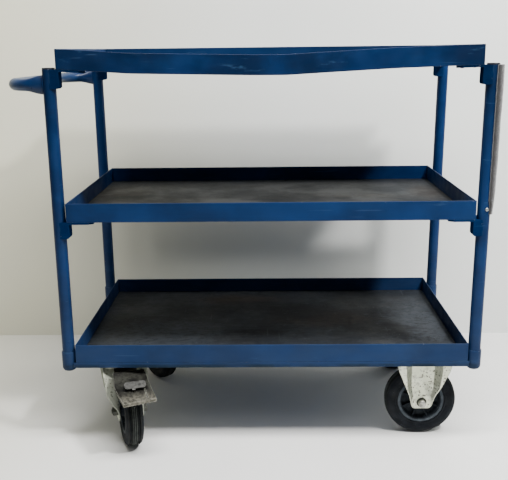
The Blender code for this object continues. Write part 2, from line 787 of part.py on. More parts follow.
def race_mesh():
    """The two stacked rings that hold the castor's balls, with the groove between them."""
    low = CROWN_BOTTOM + CROWN_THICKNESS + GAP
    high = PLATE_TOP - PLATE_THICKNESS - GAP
    middle = (low + high) / 2
    profile = [(0.018, low), (RACE_RADIUS - 0.002, low), (RACE_RADIUS, low + 0.002)]
    profile += [(RACE_RADIUS, middle - 0.0015), (RACE_RADIUS - 0.0025, middle)]
    profile += [(RACE_RADIUS, middle + 0.0015), (RACE_RADIUS, high - 0.002)]
    profile += [(RACE_RADIUS - 0.002, high), (0.018, high)]
    return turned(profile, 20)


def king_bolt_mesh():
    crown = CROWN_BOTTOM - GAP
    shank = rod(KING_RADIUS, crown - 0.004, PLATE_TOP - 0.0005, segments=14)
    return joined(shank, prism(hexagon((0, 0), 0.022), KING_HEAD_BOTTOM, crown))


def pedal_mesh():
    """A stamped cover over the tyre that slopes down to a tread, on two arms on the fork's studs."""
    sheet = PEDAL_SHEET
    line = list(PEDAL_LINE)
    below = [(x, z - PEDAL_SKIRT) for x, z in reversed(line)]
    slab = shared(prism(line + below, -0.06, 0.06, "y"), prism(PEDAL_PLAN, 0.1, 0.2))
    inside = [(0.050, line[0][1] - sheet)] + [(x, z - sheet) for x, z in line]
    inside += [(0.175, 0.110), (0.050, 0.110)]
    hollow = shared(prism(inside, -0.06, 0.06, "y"), prism(PEDAL_HOLLOW, 0.1, 0.2))
    body = cut(slab, hollow)
    x, z = PEDAL_PIVOT
    arm = [*arc((x, z), 0.009, 160, 340, 6), (0.096, 0.1585), (0.066, 0.1715), (0.0625, 0.1715)]
    lug = [(0.1090, 0.1555), (0.1090, 0.1615), (0.1105, 0.1630), (0.1150, 0.1630), (0.1165, 0.1615)]
    lug.append((0.1165, 0.1535))
    shoe = [(0.086, 0.1638), (0.104, 0.1572), (0.102, 0.1527), (0.088, 0.1583)]
    extras = [prism(shoe, -0.013, 0.013, "y")]
    for side in (-1, 1):
        extras.append(prism(arm, *sorted(side * face for face in ARM_FACES), "y"))
        extras.append(prism(lug, *sorted(TAB_OFFSET + side * face for face in LUG_FACES), "y"))
    studs = rod(STUD_RADIUS + BORE_CLEAR, -0.05, 0.05, "y", PEDAL_PIVOT, 10)
    pin = rod(TAB_PIN + BORE_CLEAR, -0.02, 0.03, "y", TAB_PIVOT, 8)
    slit = [(0.112, 0.0240), (0.152, 0.0254), (0.152, 0.0276), (0.112, 0.0262)]
    return cut(joined(body, *extras), studs, pin, prism(slit, 0.130, 0.170))


def tab_mesh():
    """A small tread on an arm, with the barrel and pin that it hinges on between the pedal's lugs."""
    x, z = TAB_PIVOT
    near, far = LUG_FACES
    barrel = rod(TAB_BARREL, GAP - near, near - GAP, "y", TAB_PIVOT, 12)
    pin = rod(TAB_PIN, -far, far, "y", TAB_PIVOT, 8)
    arm = [(x - 0.0015, z), (x + 0.0015, z), (x + 0.0040, z + 0.0050), (x + 0.0005, z + 0.0070)]
    tread = prism(rounded_rectangle((-0.009, -0.023), (0.009, 0.023), 0.006), -0.002, 0.002)
    lip = [(0.006, -0.008), (0.0125, -0.007), (0.0125, -0.001), (0.006, 0.001)]
    tread = joined(tread, prism(lip, -0.0012, 0.0012))
    tilt = Matrix.Rotation(math.radians(TAB_TILT), 4, "Y")
    centre = Matrix.Translation((TAB_CENTRE[0], 0, TAB_CENTRE[1]))
    body = joined(barrel, pin, prism(arm, -0.008, 0.008, "y"), moved(tread, centre @ tilt))
    return moved(body, Matrix.Translation((0, TAB_OFFSET, 0)))


def about(mesh, x, z):
    """The mesh with its origin moved to a place on its joint's axis."""
    return moved(mesh, Matrix.Translation((-x, 0, -z)))


def add_wheel(name, parent, x, rim_plastic, rubber):
    place = (x, 0, WHEEL_RADIUS)
    piece(f"rim_{name}", rim_mesh(), rim_plastic, parent, place)
    piece(f"tyre_{name}", tyre_mesh(), rubber, parent, place)


def add_fixed_castor(name, side_y, trolley, zinc, steel, rim_plastic, rubber):
    base = empty(f"fixed_castor_{name}", trolley, (FIXED_X, side_y * CASTOR_Y, 0))
    piece(f"fork_{name}", fixed_fork_mesh(), zinc, base)
    piece(f"axle_{name}", fixed_axle_mesh(), steel, base)
    add_wheel(name, base, 0, rim_plastic, rubber)


def add_swivel_castor(name, side_y, heading, trolley, zinc, steel, rim_plastic, rubber, chrome):
    base = empty(f"swivel_castor_{name}", trolley, (SWIVEL_X, side_y * CASTOR_Y, 0))
    plate = cut(plate_mesh(), rod(KING_RADIUS + BORE_CLEAR, 0.1, 0.3, segments=14))
    piece(f"top_plate_{name}", plate, zinc, base)
    piece(f"ball_race_{name}", race_mesh(), zinc, base)
    piece(f"king_bolt_{name}", king_bolt_mesh(), steel, base)
    swivel = empty(f"swivel_{name}", base, heading=heading)
    piece(f"fork_{name}", swivel_fork_mesh(), zinc, swivel)
    piece(f"axle_{name}", swivel_axle_mesh(), steel, swivel)
    add_wheel(name, swivel, TRAIL, rim_plastic, rubber)
    x, z = PEDAL_PIVOT
    piece(f"brake_pedal_{name}", about(pedal_mesh(), x, z), zinc, swivel, (x, 0, z))
    x, z = TAB_PIVOT
    piece(f"release_tab_{name}", about(tab_mesh(), x, z), chrome, swivel, (x, 0, z))


def build():
    clear_scene()
    paint = material("blue_paint", (0.013, 0.047, 0.145), 0.40, 0.0)
    mat_finish = material("tray_mat", (0.045, 0.040, 0.040), 0.70, 0.0)
    plastic = material("black_plastic", (0.012, 0.014, 0.020), 0.45, 0.0)
    zinc = material("zinc_plate", (0.42, 0.43, 0.38), 0.45, 0.9)
    steel = material("bright_steel", (0.55, 0.55, 0.55), 0.30, 1.0)
    chrome = material("chrome", (0.75, 0.75, 0.76), 0.15, 1.0)
    rim_plastic = material("rim_plastic", (0.085, 0.095, 0.105), 0.50, 0.0)
    rubber = material("tyre_rubber", (0.016, 0.018, 0.022), 0.75, 0.0)
    felt = material("grey_felt", (0.160, 0.150, 0.155), 0.95, 0.0)

    trolley = empty("trolley", location=(TRAY_CENTRE_X, TRAY_CENTRE_Y, 0))
    add_trays(trolley, paint, mat_finish)
    add_posts(trolley, paint, plastic)
    add_rails(trolley, paint)
    add_handle(trolley, paint)
    add_felt(trolley, felt, steel)
    for name, side_y in (("front", -1), ("rear", 1)):
        castor = (trolley, zinc, steel, rim_plastic, rubber)
        add_fixed_castor(f"{name}_right", side_y, *castor)
        add_swivel_castor(f"{name}_left", side_y, HEADING[name], *castor, chrome)


build()
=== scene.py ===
"""Visual model of the three-tier tray trolley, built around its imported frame.

Metres, +Z up, handle at -X, front at -Y. Every piece takes its place from the CAD nodes.
"""

import json
import math
import random

import bmesh
import bpy
import numpy as np
from mathutils import Matrix, Vector, noise


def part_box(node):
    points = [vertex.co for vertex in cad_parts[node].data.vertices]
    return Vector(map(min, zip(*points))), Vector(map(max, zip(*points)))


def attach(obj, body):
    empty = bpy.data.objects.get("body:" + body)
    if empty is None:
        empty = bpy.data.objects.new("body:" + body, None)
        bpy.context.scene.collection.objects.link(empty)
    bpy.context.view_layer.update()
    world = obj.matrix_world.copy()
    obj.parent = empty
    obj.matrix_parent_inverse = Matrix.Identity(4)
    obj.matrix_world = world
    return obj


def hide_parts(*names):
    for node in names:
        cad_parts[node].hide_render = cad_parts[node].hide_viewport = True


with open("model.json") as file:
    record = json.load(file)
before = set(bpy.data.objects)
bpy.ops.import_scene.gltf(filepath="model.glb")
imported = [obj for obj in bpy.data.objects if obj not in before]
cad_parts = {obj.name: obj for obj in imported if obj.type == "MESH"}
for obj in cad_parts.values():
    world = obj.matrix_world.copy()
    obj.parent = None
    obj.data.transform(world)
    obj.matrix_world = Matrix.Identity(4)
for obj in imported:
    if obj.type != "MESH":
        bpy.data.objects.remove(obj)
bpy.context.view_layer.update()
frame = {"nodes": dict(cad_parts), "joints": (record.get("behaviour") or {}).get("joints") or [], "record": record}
NODES = frame["nodes"]
BODIES = frame["record"]["behaviour"]["bodies"]
JOINTS = {joint["name"]: joint for joint in frame["joints"]}

TRAY_LOW, TRAY_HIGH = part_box("tray_bottom")
CENTRE = Vector(((TRAY_LOW.x + TRAY_HIGH.x) / 2, (TRAY_LOW.y + TRAY_HIGH.y) / 2, 0))
HALF_X = (TRAY_HIGH.x - TRAY_LOW.x) / 2
HALF_Y = (TRAY_HIGH.y - TRAY_LOW.y) / 2
LIP = TRAY_HIGH.z - TRAY_LOW.z
# The thickness of the trays' steel, and the grid steps of the trays and of their mats.
SHEET = 0.002
TRAY_STEP, MAT_STEP = 0.0125, 0.0085
# How far the top tray's front edge is bent down, by place along X from the trays' middle.
SAG_PLACES = (-0.425, -0.320, -0.278, -0.036, 0.036, 0.090, 0.252, 0.425)
SAG_DROPS = (0.0, 0.007, 0.010, 0.0155, 0.016, 0.013, 0.005, 0.0)

# The hole round an axle in a fork's cheek, darkened with painted shade, and the tyres' size and groove depth.
HOLE_RADIUS = 0.0108
TYRE_RADIUS, GROOVE_DEPTH = 0.0800, 0.0017
UP = Vector((0, 0, 1))
CORNERS = ("front_left", "front_right", "rear_left", "rear_right")
SWIVELS = ("front_left", "rear_left")


# Materials


class Shading:
    """Adds nodes to a material. An input takes a number, a colour or another node's output."""

    def __init__(self, name):
        self.material = bpy.data.materials.new(name)
        self.material.use_nodes = True
        self.tree = self.material.node_tree
        self.shader = self.tree.nodes["Principled BSDF"]
        self.place = self.add("ShaderNodeTexCoord").outputs["Object"]

    def add(self, kind, inputs=(), **settings):
        node = self.tree.nodes.new(kind)
        for key, value in settings.items():
            setattr(node, key, value)
        for key, value in dict(inputs).items():
            self.feed(node.inputs[key], value)
        return node

    def feed(self, socket, value):
        if isinstance(value, bpy.types.NodeSocket):
            self.tree.links.new(value, socket)
        elif isinstance(value, tuple) and socket.type == "RGBA":
            socket.default_value = (*value[:3], 1)
        else:
            socket.default_value = value

    def math(self, operation, *values):
        return self.add("ShaderNodeMath", enumerate(values), operation=operation).outputs[0]

    def times(self, one, other):
        return self.math("MULTIPLY", one, other)

    def vector(self, operation, *values):
        """A vector, or a number for a dot product or a length."""
        node = self.add("ShaderNodeVectorMath", enumerate(values), operation=operation)
        return node.outputs["Value" if operation in ("DOT_PRODUCT", "LENGTH") else "Vector"]

    def noise(self, scale, detail=3.0, roughness=0.55, stretch=(1, 1, 1), shift=0.0):
        """Noise from 0 to 1, stretched by dividing its scale along each axis."""
        sizes = tuple(scale / s for s in stretch)
        moved = self.add(
            "ShaderNodeMapping", {"Vector": self.place, "Scale": sizes, "Location": (shift,) * 3}
        )
        picked = {
            "Vector": moved.outputs[0], "Scale": 1.0, "Detail": detail, "Roughness": roughness
        }
        return self.add("ShaderNodeTexNoise", picked).outputs[0]

    def cells(self, scale, output="Distance"):
        made = self.add("ShaderNodeTexVoronoi", {"Vector": self.place, "Scale": scale})
        return made.outputs[output]

    def ramp(self, value, low, high, start=0.0, end=1.0):
        """start at low and before it, end at high and past it, and smooth between."""
        picked = enumerate((value, low, high, start, end))
        return self.add("ShaderNodeMapRange", picked, interpolation_type="SMOOTHSTEP").outputs[0]

    def mix(self, share, one, other):
        """A blend of two colours, whose sockets are the Mix node's inputs 6 and 7 and output 2."""
        return self.add("ShaderNodeMix", {0: share, 6: one, 7: other}, data_type="RGBA").outputs[2]

    def over(self, share, tint):
        """Lays a tint over the colour so far, where share is 1."""
        self.colour = self.mix(share, self.colour, tint)

    def axis(self, name):
        return self.add("ShaderNodeSeparateXYZ", {0: self.place}).outputs[name]

    def edges(self, radius, low=0.02, high=0.25):
        """1 along convex and concave edges, from how a rounded normal leaves the true one."""
        rounded = self.add("ShaderNodeBevel", {"Radius": radius}, samples=6).outputs[0]
        true = self.add("ShaderNodeNewGeometry").outputs["Normal"]
        turn = self.math("SUBTRACT", 1.0, self.vector("DOT_PRODUCT", rounded, true))
        return self.ramp(turn, low, high)

    def bump(self, height, strength, distance):
        made = {"Height": height, "Strength": strength, "Distance": distance}
        self.feed(self.shader.inputs["Normal"], self.add("ShaderNodeBump", made).outputs[0])

    def spot(self, centre, radii):
        """1 inside an uneven patch about a point given from the trays' middle, and 0 outside it."""
        moved = self.vector("SUBTRACT", self.place, CENTRE + Vector(centre))
        scaled = self.vector("MULTIPLY", moved, Vector([1 / r for r in radii]))
        away = self.vector("LENGTH", scaled)
        uneven = self.math("SUBTRACT", self.noise(30.0, 7, 0.7, shift=centre[0] * 9), 0.5)
        return self.ramp(self.math("ADD", away, self.times(uneven, 1.32)), 1.15, 0.45)

    def set(self, **values):
        """Sets inputs of the shader by their names in lower case, with _ for a space."""
        for key, value in values.items():
            socket = key.replace("_", " ").title().replace("Ior", "IOR")
            self.feed(self.shader.inputs[socket], value)


def blue_paint(name, wear=1.0, shade=0.0, gloss=0.0):
    """Satin enamel: mottled, paler towards the floor from dust and painted bounce light, worn pale
    on its edges, with chips, and with painted shade on the trays' front lips and top rear lip.

    wear scales the worn edges, shade darkens the whole as painted shade for parts in shadow,
    and gloss polishes it as hands do and pales the handle's end with wear and painted highlight.
    """
    s = Shading(name)
    s.colour = s.mix(
        s.ramp(s.noise(6, 4), 0.35, 0.68), (0.0018, 0.0145, 0.060), (0.0040, 0.0270, 0.105)
    )
    patches = s.ramp(s.noise(26, 5, 0.65, stretch=(2.5, 1, 1), shift=8.0), 0.42, 0.72, 0.0, 0.5)
    s.over(patches, (0.0050, 0.0320, 0.108))
    height = s.axis("Z")
    # Paler towards the floor: dust, and painted light bounced up from the floor.
    cloud = s.ramp(s.noise(30, 6, 0.65, stretch=(3, 1, 1)), 0.30, 0.72, 0.20, 0.60)
    dust_and_bounce_light = s.times(s.ramp(height, 0.46, 0.16), cloud)
    s.over(dust_and_bounce_light, (0.0210, 0.0430, 0.100))
    depth = s.axis("Y")
    # Painted shade on the top tray's rear lip.
    back = s.times(
        s.ramp(depth, TRAY_HIGH.y - 0.012, TRAY_HIGH.y - 0.004),
        s.ramp(height, 0.80, 0.83, 0.0, 0.50)
    )
    s.over(back, (0.0040, 0.0130, 0.0330))
    # Painted shade on the front faces of the trays' lips, deeper higher up.
    lips = s.ramp(depth, TRAY_LOW.y - 0.004, TRAY_LOW.y - 0.002)
    lips = s.times(lips, s.ramp(depth, TRAY_LOW.y + 0.03, TRAY_LOW.y + 0.01))
    lips = s.times(lips, s.ramp(height, 0.60, 0.82, 0.34, 0.80))
    lips = s.times(lips, s.ramp(s.noise(9, 5, 0.6, shift=3.0), 0.36, 0.64, 1.0, 0.55))
    s.over(lips, (0.0010, 0.0060, 0.0200))
    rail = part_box("base_rail_front")[0].z
    soot = s.times(
        s.ramp(height, rail + 0.010, rail + 0.004),
        s.ramp(s.noise(14, 4, shift=6.0), 0.38, 0.56, 0.25, 0.85)
    )
    s.over(soot, (0.0030, 0.0110, 0.0200))
    scuffs = s.ramp(s.noise(42, 6, 0.7, stretch=(5, 1, 1)), 0.64, 0.71, 0.0, 0.45)
    s.over(scuffs, (0.024, 0.066, 0.135))
    scratches = s.ramp(s.noise(210, 2, 0.5, stretch=(30, 4, 1), shift=11.0), 0.71, 0.75, 0.0, 0.35)
    s.over(scratches, (0.040, 0.085, 0.16))
    worn = s.times(s.edges(0.0016), s.ramp(s.noise(40, 4), 0.44, 0.60, 0.05 * wear, 0.85 * wear))
    s.over(worn, (0.085, 0.150, 0.235))
    # Painted shade over the whole, for parts that sit in shadow.
    if shade:
        s.over(shade, (0.0008, 0.0045, 0.0160))
    if gloss:
        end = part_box("push_handle")[0].x
        # Paler towards the handle's end: wear from hands, and a painted highlight.
        worn_and_highlit_end = s.ramp(s.axis("X"), end + 0.060, end + 0.004, 0.0, 0.40)
        s.over(worn_and_highlit_end, (0.048, 0.080, 0.120))
    chips = s.times(
        s.edges(0.0040, 0.01, 0.2),
        s.ramp(s.noise(190, 5, 0.6, shift=3.1), 0.64, 0.675, 0.0, 0.4 + 0.6 * wear)
    )
    s.over(chips, (0.012, 0.012, 0.014))
    bare = s.times(chips, s.ramp(s.noise(480, 2), 0.53, 0.60))
    s.over(bare, (0.40, 0.42, 0.45))
    rough = s.ramp(s.noise(24, 5, 0.6), 0.3, 0.7, 0.30 - 0.12 * gloss, 0.46 - 0.14 * gloss)
    rough = s.math("ADD", rough, s.times(dust_and_bounce_light, 0.30))
    s.set(
        base_color=s.colour, roughness=rough,
        specular_ior_level=0.0 if shade else 0.12 + 0.40 * gloss
    )
    skin = s.math("SUBTRACT", s.noise(420, 2), s.times(chips, 2.0))
    s.bump(s.math("ADD", skin, s.times(s.noise(9, 2), 6.0)), 0.18, 0.0004)
    return s.material


# Heights of the two mats that show most.
BOTTOM_MAT, MIDDLE_MAT = 0.2023, 0.5148
# Places (from the trays' middle) and sizes of the mats' patches: the pale are painted sheen, the rest stains.
PATCHES = {
    "pale": (
        ((-0.11, 0.05, MIDDLE_MAT), (0.19, 0.10)),
        ((0.32, 0.08, MIDDLE_MAT), (0.10, 0.09)),
        ((0.37, -0.02, BOTTOM_MAT), (0.06, 0.22)),
        ((-0.25, -0.10, BOTTOM_MAT), (0.16, 0.12)),
    ),
    "brown": (
        ((-0.37, 0.06, MIDDLE_MAT), (0.08, 0.12)),
        ((0.38, 0.05, MIDDLE_MAT), (0.05, 0.10)),
        ((0.20, 0.01, MIDDLE_MAT), (0.14, 0.022)),
        ((0.13, 0.015, BOTTOM_MAT), (0.15, 0.070)),
        ((-0.08, 0.16, BOTTOM_MAT), (0.13, 0.050)),
    ),
    "dark": (
        ((-0.03, 0.105, BOTTOM_MAT), (0.14, 0.062)),
        ((0.07, 0.06, BOTTOM_MAT), (0.10, 0.065)),
        ((-0.035, -0.078, BOTTOM_MAT), (0.070, 0.022)),
        ((0.26, -0.055, BOTTOM_MAT), (0.100, 0.040)),
        ((-0.34, 0.00, MIDDLE_MAT), (0.060, 0.030)),
        ((0.13, 0.03, MIDDLE_MAT), (0.120, 0.020)),
    ),
}


def tray_mat():
    """Dark mat: brownish dust, bluish patches of painted sheen, black stains, scratches and specks."""
    s = Shading("tray_mat")
    s.colour = s.mix(
        s.ramp(s.noise(5.5, 6, 0.62), 0.38, 0.64), (0.0125, 0.0150, 0.0190),
        (0.0225, 0.0268, 0.0335)
    )
    brown = s.ramp(s.noise(7, 6, 0.68, shift=5.0), 0.46, 0.68, 0.0, 0.45)
    s.over(brown, (0.023, 0.0215, 0.0200))
    # The pale patches are painted sheen; the brown and dark ones are stains.
    for kind, tint, most in (
        ("pale", (0.050, 0.058, 0.070), 0.55),
        ("brown", (0.032, 0.0235, 0.0185), 0.85),
        ("dark", (0.0025, 0.0034, 0.0052), 0.90),
    ):
        for place, size in PATCHES[kind]:
            s.over(s.times(s.spot(place, (*size, 0.05)), most), tint)
    mottle = s.ramp(s.noise(85, 5, 0.75, stretch=(1.6, 1, 1), shift=6.0), 0.46, 0.62, 0.0, 0.62)
    s.over(mottle, (0.0055, 0.0062, 0.0078))
    flecks = s.ramp(s.noise(120, 4, 0.7, stretch=(2.5, 1, 1), shift=12.0), 0.60, 0.70, 0.0, 0.55)
    s.over(flecks, (0.068, 0.075, 0.090))
    scratch_one = s.ramp(s.noise(240, 2, 0.5, stretch=(45, 1, 1)), 0.66, 0.72, 0.0, 0.40)
    scratch_two = s.ramp(s.noise(200, 2, 0.5, stretch=(2, 32, 1), shift=2.0), 0.69, 0.75, 0.0, 0.30)
    s.over(s.math("MAXIMUM", scratch_one, scratch_two), (0.080, 0.084, 0.092))
    grit = s.times(s.ramp(s.cells(210), 0.15, 0.08), s.ramp(s.noise(9, 4, shift=1.0), 0.50, 0.64))
    s.over(s.times(grit, 0.75), (0.21, 0.19, 0.16))
    dots = s.times(s.ramp(s.cells(95), 0.22, 0.12), s.ramp(s.noise(11, 4, shift=7.0), 0.44, 0.56))
    s.over(s.times(dots, 0.85), (0.0022, 0.0022, 0.0028))
    # Painted shade: the middle mat, under the top tray, is darker than the bottom one.
    shade = s.ramp(s.axis("Z"), BOTTOM_MAT + 0.1, MIDDLE_MAT - 0.1, 0.0, 0.48)
    s.over(shade, (0.0020, 0.0032, 0.0050))
    rough = s.ramp(s.noise(6, 6, 0.65, shift=4.0), 0.35, 0.66, 0.48, 0.72)
    s.set(base_color=s.colour, roughness=rough, specular_ior_level=0.18)
    s.bump(s.math("ADD", s.noise(650, 3), s.times(s.noise(16, 3), 3.0)), 0.35, 0.0004)
    return s.material


def zinc(name, grimy=False, ahead=None, axle=None):
    """Dull zinc plate with a green cast and rusty specks, and with painted shade in its folds or all over grime.

    A fork's zinc also gets ahead, the way that it points, and axle, its wheel's centre and axis:
    its slanting folds and the hole round its axle get painted shade.
    """
    s = Shading(name)
    tone = s.add("ShaderNodeSeparateColor", {0: s.cells(55, output="Color")}).outputs[0]
    s.colour = s.mix(s.ramp(s.noise(14, 5), 0.35, 0.68), (0.70, 0.73, 0.57), (0.88, 0.91, 0.77))
    s.over(s.times(tone, 0.12), (0.88, 0.90, 0.84))
    blotches = s.ramp(s.noise(75, 5, 0.65, shift=5.0), 0.50, 0.66, 0.0, 0.50)
    s.over(blotches, (0.20, 0.195, 0.145))
    specks = s.times(
        s.ramp(s.cells(150), 0.36, 0.24), s.ramp(s.noise(22, 4, shift=2.0), 0.36, 0.50)
    )
    pits = s.ramp(s.noise(210, 4, 0.6, shift=6.0), 0.63, 0.68)
    s.over(s.times(s.math("MAXIMUM", specks, pits), 0.85), (0.050, 0.042, 0.030))
    if grimy:
        dirt = s.ramp(s.noise(30, 7, 0.7, shift=1.5), 0.36, 0.56, 0.965)
        s.over(dirt, (0.0045, 0.0042, 0.0038))
        rubbed = s.times(
            s.ramp(s.axis("Z"), 0.154, 0.141),
            s.ramp(s.noise(150, 6, 0.75), 0.40, 0.58, 0.15, 0.85)
        )
        s.over(rubbed, (0.185, 0.175, 0.140))
        scratches = s.ramp(s.noise(260, 4, 0.7, stretch=(1, 6, 1)), 0.58, 0.70, 0.0, 0.20)
        s.over(scratches, (0.17, 0.165, 0.140))
        bright = s.times(s.edges(0.0022, 0.02, 0.25), s.ramp(s.noise(60, 4), 0.40, 0.60, 0.2, 0.9))
        s.over(bright, (0.34, 0.335, 0.29))
    else:
        # Painted shade in the folds.
        folds = s.times(s.edges(0.0035, 0.010, 0.12), s.ramp(s.noise(40, 5), 0.35, 0.60, 0.35))
        s.over(s.times(folds, 0.80), (0.085, 0.088, 0.070))
    if ahead:
        # Painted shade on the slopes that face along the way the fork points, and in the axle's hole.
        facing = s.add("ShaderNodeTexCoord").outputs["Normal"]
        lean = s.math("ABSOLUTE", s.vector("DOT_PRODUCT", facing, ahead))
        slopes = s.ramp(lean, 0.14, 0.42, 0.0, 0.66)
        shadow = (0.200, 0.215, 0.175) if ahead.y else (0.060, 0.068, 0.056)
        s.over(slopes, shadow)
        hole = s.ramp(axle_distance(s, *axle), HOLE_RADIUS + 0.0008, HOLE_RADIUS - 0.0002)
        s.over(hole, (0.010, 0.010, 0.010))
    rough = s.ramp(s.noise(60, 4), 0.3, 0.7, 0.42, 0.60)
    s.set(base_color=s.colour, metallic=0.15 if grimy else 0.40, roughness=rough)
    if grimy:
        s.set(specular_ior_level=0.15)
    s.bump(s.math("SUBTRACT", s.noise(300, 3), s.times(pits, 1.5)), 0.25, 0.0004)
    return s.material


def plain_steel(name, tint, rough, metallic=0.9):
    """Steel of one colour with darker blotches and black specks."""
    s = Shading(name)
    dark = tuple(0.35 * part for part in tint)
    s.colour = s.mix(s.ramp(s.noise(160, 5, 0.65), 0.45, 0.66, 0.0, 0.75), tint, dark)
    s.over(s.ramp(s.noise(420, 3, shift=4.0), 0.66, 0.72, 0.0, 0.8), (0.03, 0.027, 0.024))
    s.set(
        base_color=s.colour, metallic=metallic,
        roughness=s.ramp(s.noise(210, 3), 0.3, 0.7, rough, rough + 0.2)
    )
    s.bump(s.noise(500, 3), 0.2, 0.0003)
    return s.material


def axle_distance(s, centre, axis):
    """How far a point lies from an axle's line."""
    away = s.vector("SUBTRACT", s.place, centre)
    along = s.vector("DOT_PRODUCT", away, axis)
    length = s.vector("LENGTH", away)
    return s.math("SQRT", s.math("SUBTRACT", s.times(length, length), s.times(along, along)))


def rubber(corner):
    """Black tyre with grey dust on its tread and a bluish bloom on its sides."""
    s = Shading("tyre_rubber")
    s.colour = s.mix(
        s.ramp(s.noise(60, 6, 0.65), 0.35, 0.7), (0.0022, 0.0034, 0.0054), (0.0055, 0.0074, 0.0105)
    )
    dust = s.times(s.ramp(s.noise(24, 5, 0.7), 0.45, 0.72), 0.50)
    s.over(dust, (0.013, 0.016, 0.021))
    radius = axle_distance(s, *wheel_axis(corner))
    tread = s.ramp(radius, TYRE_RADIUS - 0.0038, TYRE_RADIUS - 0.0020)
    tread = s.times(tread, s.ramp(s.noise(70, 5, 0.7, shift=5.0), 0.36, 0.62, 0.45))
    s.over(tread, (0.0420, 0.0480, 0.0430))
    grooves = s.ramp(radius, TYRE_RADIUS - 0.0007, TYRE_RADIUS - 0.0016)
    grooves = s.times(grooves, s.ramp(radius, TYRE_RADIUS - 0.0030, TYRE_RADIUS - 0.0024))
    s.over(s.times(grooves, 0.9), (0.0030, 0.0036, 0.0040))
    specks = s.ramp(s.noise(330, 3), 0.68, 0.74, 0.0, 0.6)
    s.over(specks, (0.070, 0.072, 0.072))
    s.set(
        base_color=s.colour, roughness=s.ramp(s.noise(40, 4), 0.3, 0.7, 0.62, 0.85),
        specular_ior_level=0.16
    )
    s.bump(s.noise(520, 4), 0.35, 0.0004)
    return s.material


def moulded(name, low, high, rough):
    """A dull surface that varies softly between two colours."""
    s = Shading(name)
    s.colour = s.mix(s.ramp(s.noise(90, 6, 0.65), 0.35, 0.7), low, high)
    rough = s.ramp(s.noise(70, 4), 0.3, 0.7, rough, rough + 0.18)
    s.set(base_color=s.colour, roughness=rough, specular_ior_level=0.06)
    s.bump(s.noise(480, 3), 0.25, 0.0003)
    return s.material


def felt():
    """Needle felt: grey fibres of several shades, matted and fuzzy, with painted shade round the post."""
    s = Shading("grey_felt")
    s.colour = s.mix(
        s.ramp(s.noise(40, 6, 0.7), 0.35, 0.68), (0.046, 0.046, 0.049), (0.098, 0.098, 0.104)
    )
    fibres = s.ramp(s.noise(900, 4, 0.7, stretch=(1, 1, 3)), 0.48, 0.66, 0.0, 0.6)
    s.over(fibres, (0.22, 0.216, 0.222))
    dark = s.ramp(s.noise(700, 4, 0.7, stretch=(3, 3, 1), shift=3.0), 0.52, 0.68, 0.0, 0.55)
    s.over(dark, (0.035, 0.032, 0.033))
    # Painted shade where the felt turns round the post, away from its outer side.
    facing = s.add("ShaderNodeTexCoord").outputs["Normal"]
    lean = s.add("ShaderNodeSeparateXYZ", {0: facing}).outputs["X"]
    s.over(s.ramp(lean, 0.97, 0.55, 0.0, 0.80), (0.026, 0.024, 0.025))
    s.set(
        base_color=s.colour, roughness=0.95, specular_ior_level=0.15, sheen_weight=0.35,
        sheen_roughness=0.5
    )
    s.bump(s.math("ADD", s.noise(700, 5, 0.7), s.noise(150, 4)), 0.8, 0.0010)
    return s.material


PAINT = blue_paint("blue_paint")
# The brackets' paint is a copy with painted shade, as they sit in shadow under the trays.
BRACKET_PAINT = blue_paint("blue_paint_shaded", wear=0.12, shade=0.20)
HANDLE_PAINT = blue_paint("blue_paint_handled", wear=0.8, gloss=0.3)
MAT = tray_mat()
ZINC = zinc("zinc_plate")
GRIMY_ZINC = zinc("zinc_plate_grimy", grimy=True)
HARDWARE = plain_steel("bright_steel", (0.40, 0.40, 0.36), 0.34)
# A darker copy of the bright steel: painted shade on the swivel wheels' bolts.
SHADED_STEEL = plain_steel("bright_steel_shaded", (0.055, 0.058, 0.050), 0.42, 0.6)
CHROME = plain_steel("chrome", (0.060, 0.060, 0.057), 0.30, 1.0)
# Near black: painted shade for the plate in the back of a swivelling fork.
SHADE_BLACK = moulded("painted_shade_black", (0.006, 0.0065, 0.0065), (0.022, 0.021, 0.019), 0.62)
RIM = moulded("rim_plastic", (0.010, 0.013, 0.017), (0.028, 0.034, 0.041), 0.48)
RIM_RING = moulded("rim_ring", (0.038, 0.047, 0.057), (0.078, 0.091, 0.106), 0.42)
CAP = moulded("black_plastic", (0.008, 0.009, 0.013), (0.020, 0.022, 0.028), 0.42)
FELT = felt()


# Mesh tools


def body_of(node):
    return next(body for body, nodes in BODIES.items() if node in nodes)


def add_object(name, data):
    made = bpy.data.objects.new(name, data)
    bpy.context.scene.collection.objects.link(made)
    return made


def show(name, bm, material, node=None, body="frame", slot=None, smooth=35):
    """A finished piece. One that stands for a node takes that node's body."""
    bmesh.ops.recalc_face_normals(bm, faces=bm.faces)
    mesh = bpy.data.meshes.new(name)
    bm.to_mesh(mesh)
    bm.free()
    mesh.materials.append(material)
    mesh.shade_smooth()
    mesh.set_sharp_from_angle(angle=math.radians(smooth))
    made = add_object(name, mesh)
    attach(made, body_of(node) if node else body)
    if node:
        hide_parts(node)
    return made


def rounded(piece, width, segments=2, angle=30):
    modifier = piece.modifiers.new("Bevel", "BEVEL")
    modifier.width = width
    modifier.segments = segments
    modifier.limit_method = "ANGLE"
    modifier.angle_limit = math.radians(angle)
    modifier.harden_normals = True


def refined(node, width, material, name, angle=30):
    """A copy of a CAD node with its flat faces whole again and its edges rounded."""
    bm = bmesh.new()
    bm.from_mesh(NODES[node].data)
    bmesh.ops.remove_doubles(bm, verts=bm.verts, dist=0.000005)
    bmesh.ops.dissolve_limit(bm, angle_limit=math.radians(1.5), verts=bm.verts, edges=bm.edges)
    rounded(show(name, bm, material, node, smooth=angle), width, angle=angle)


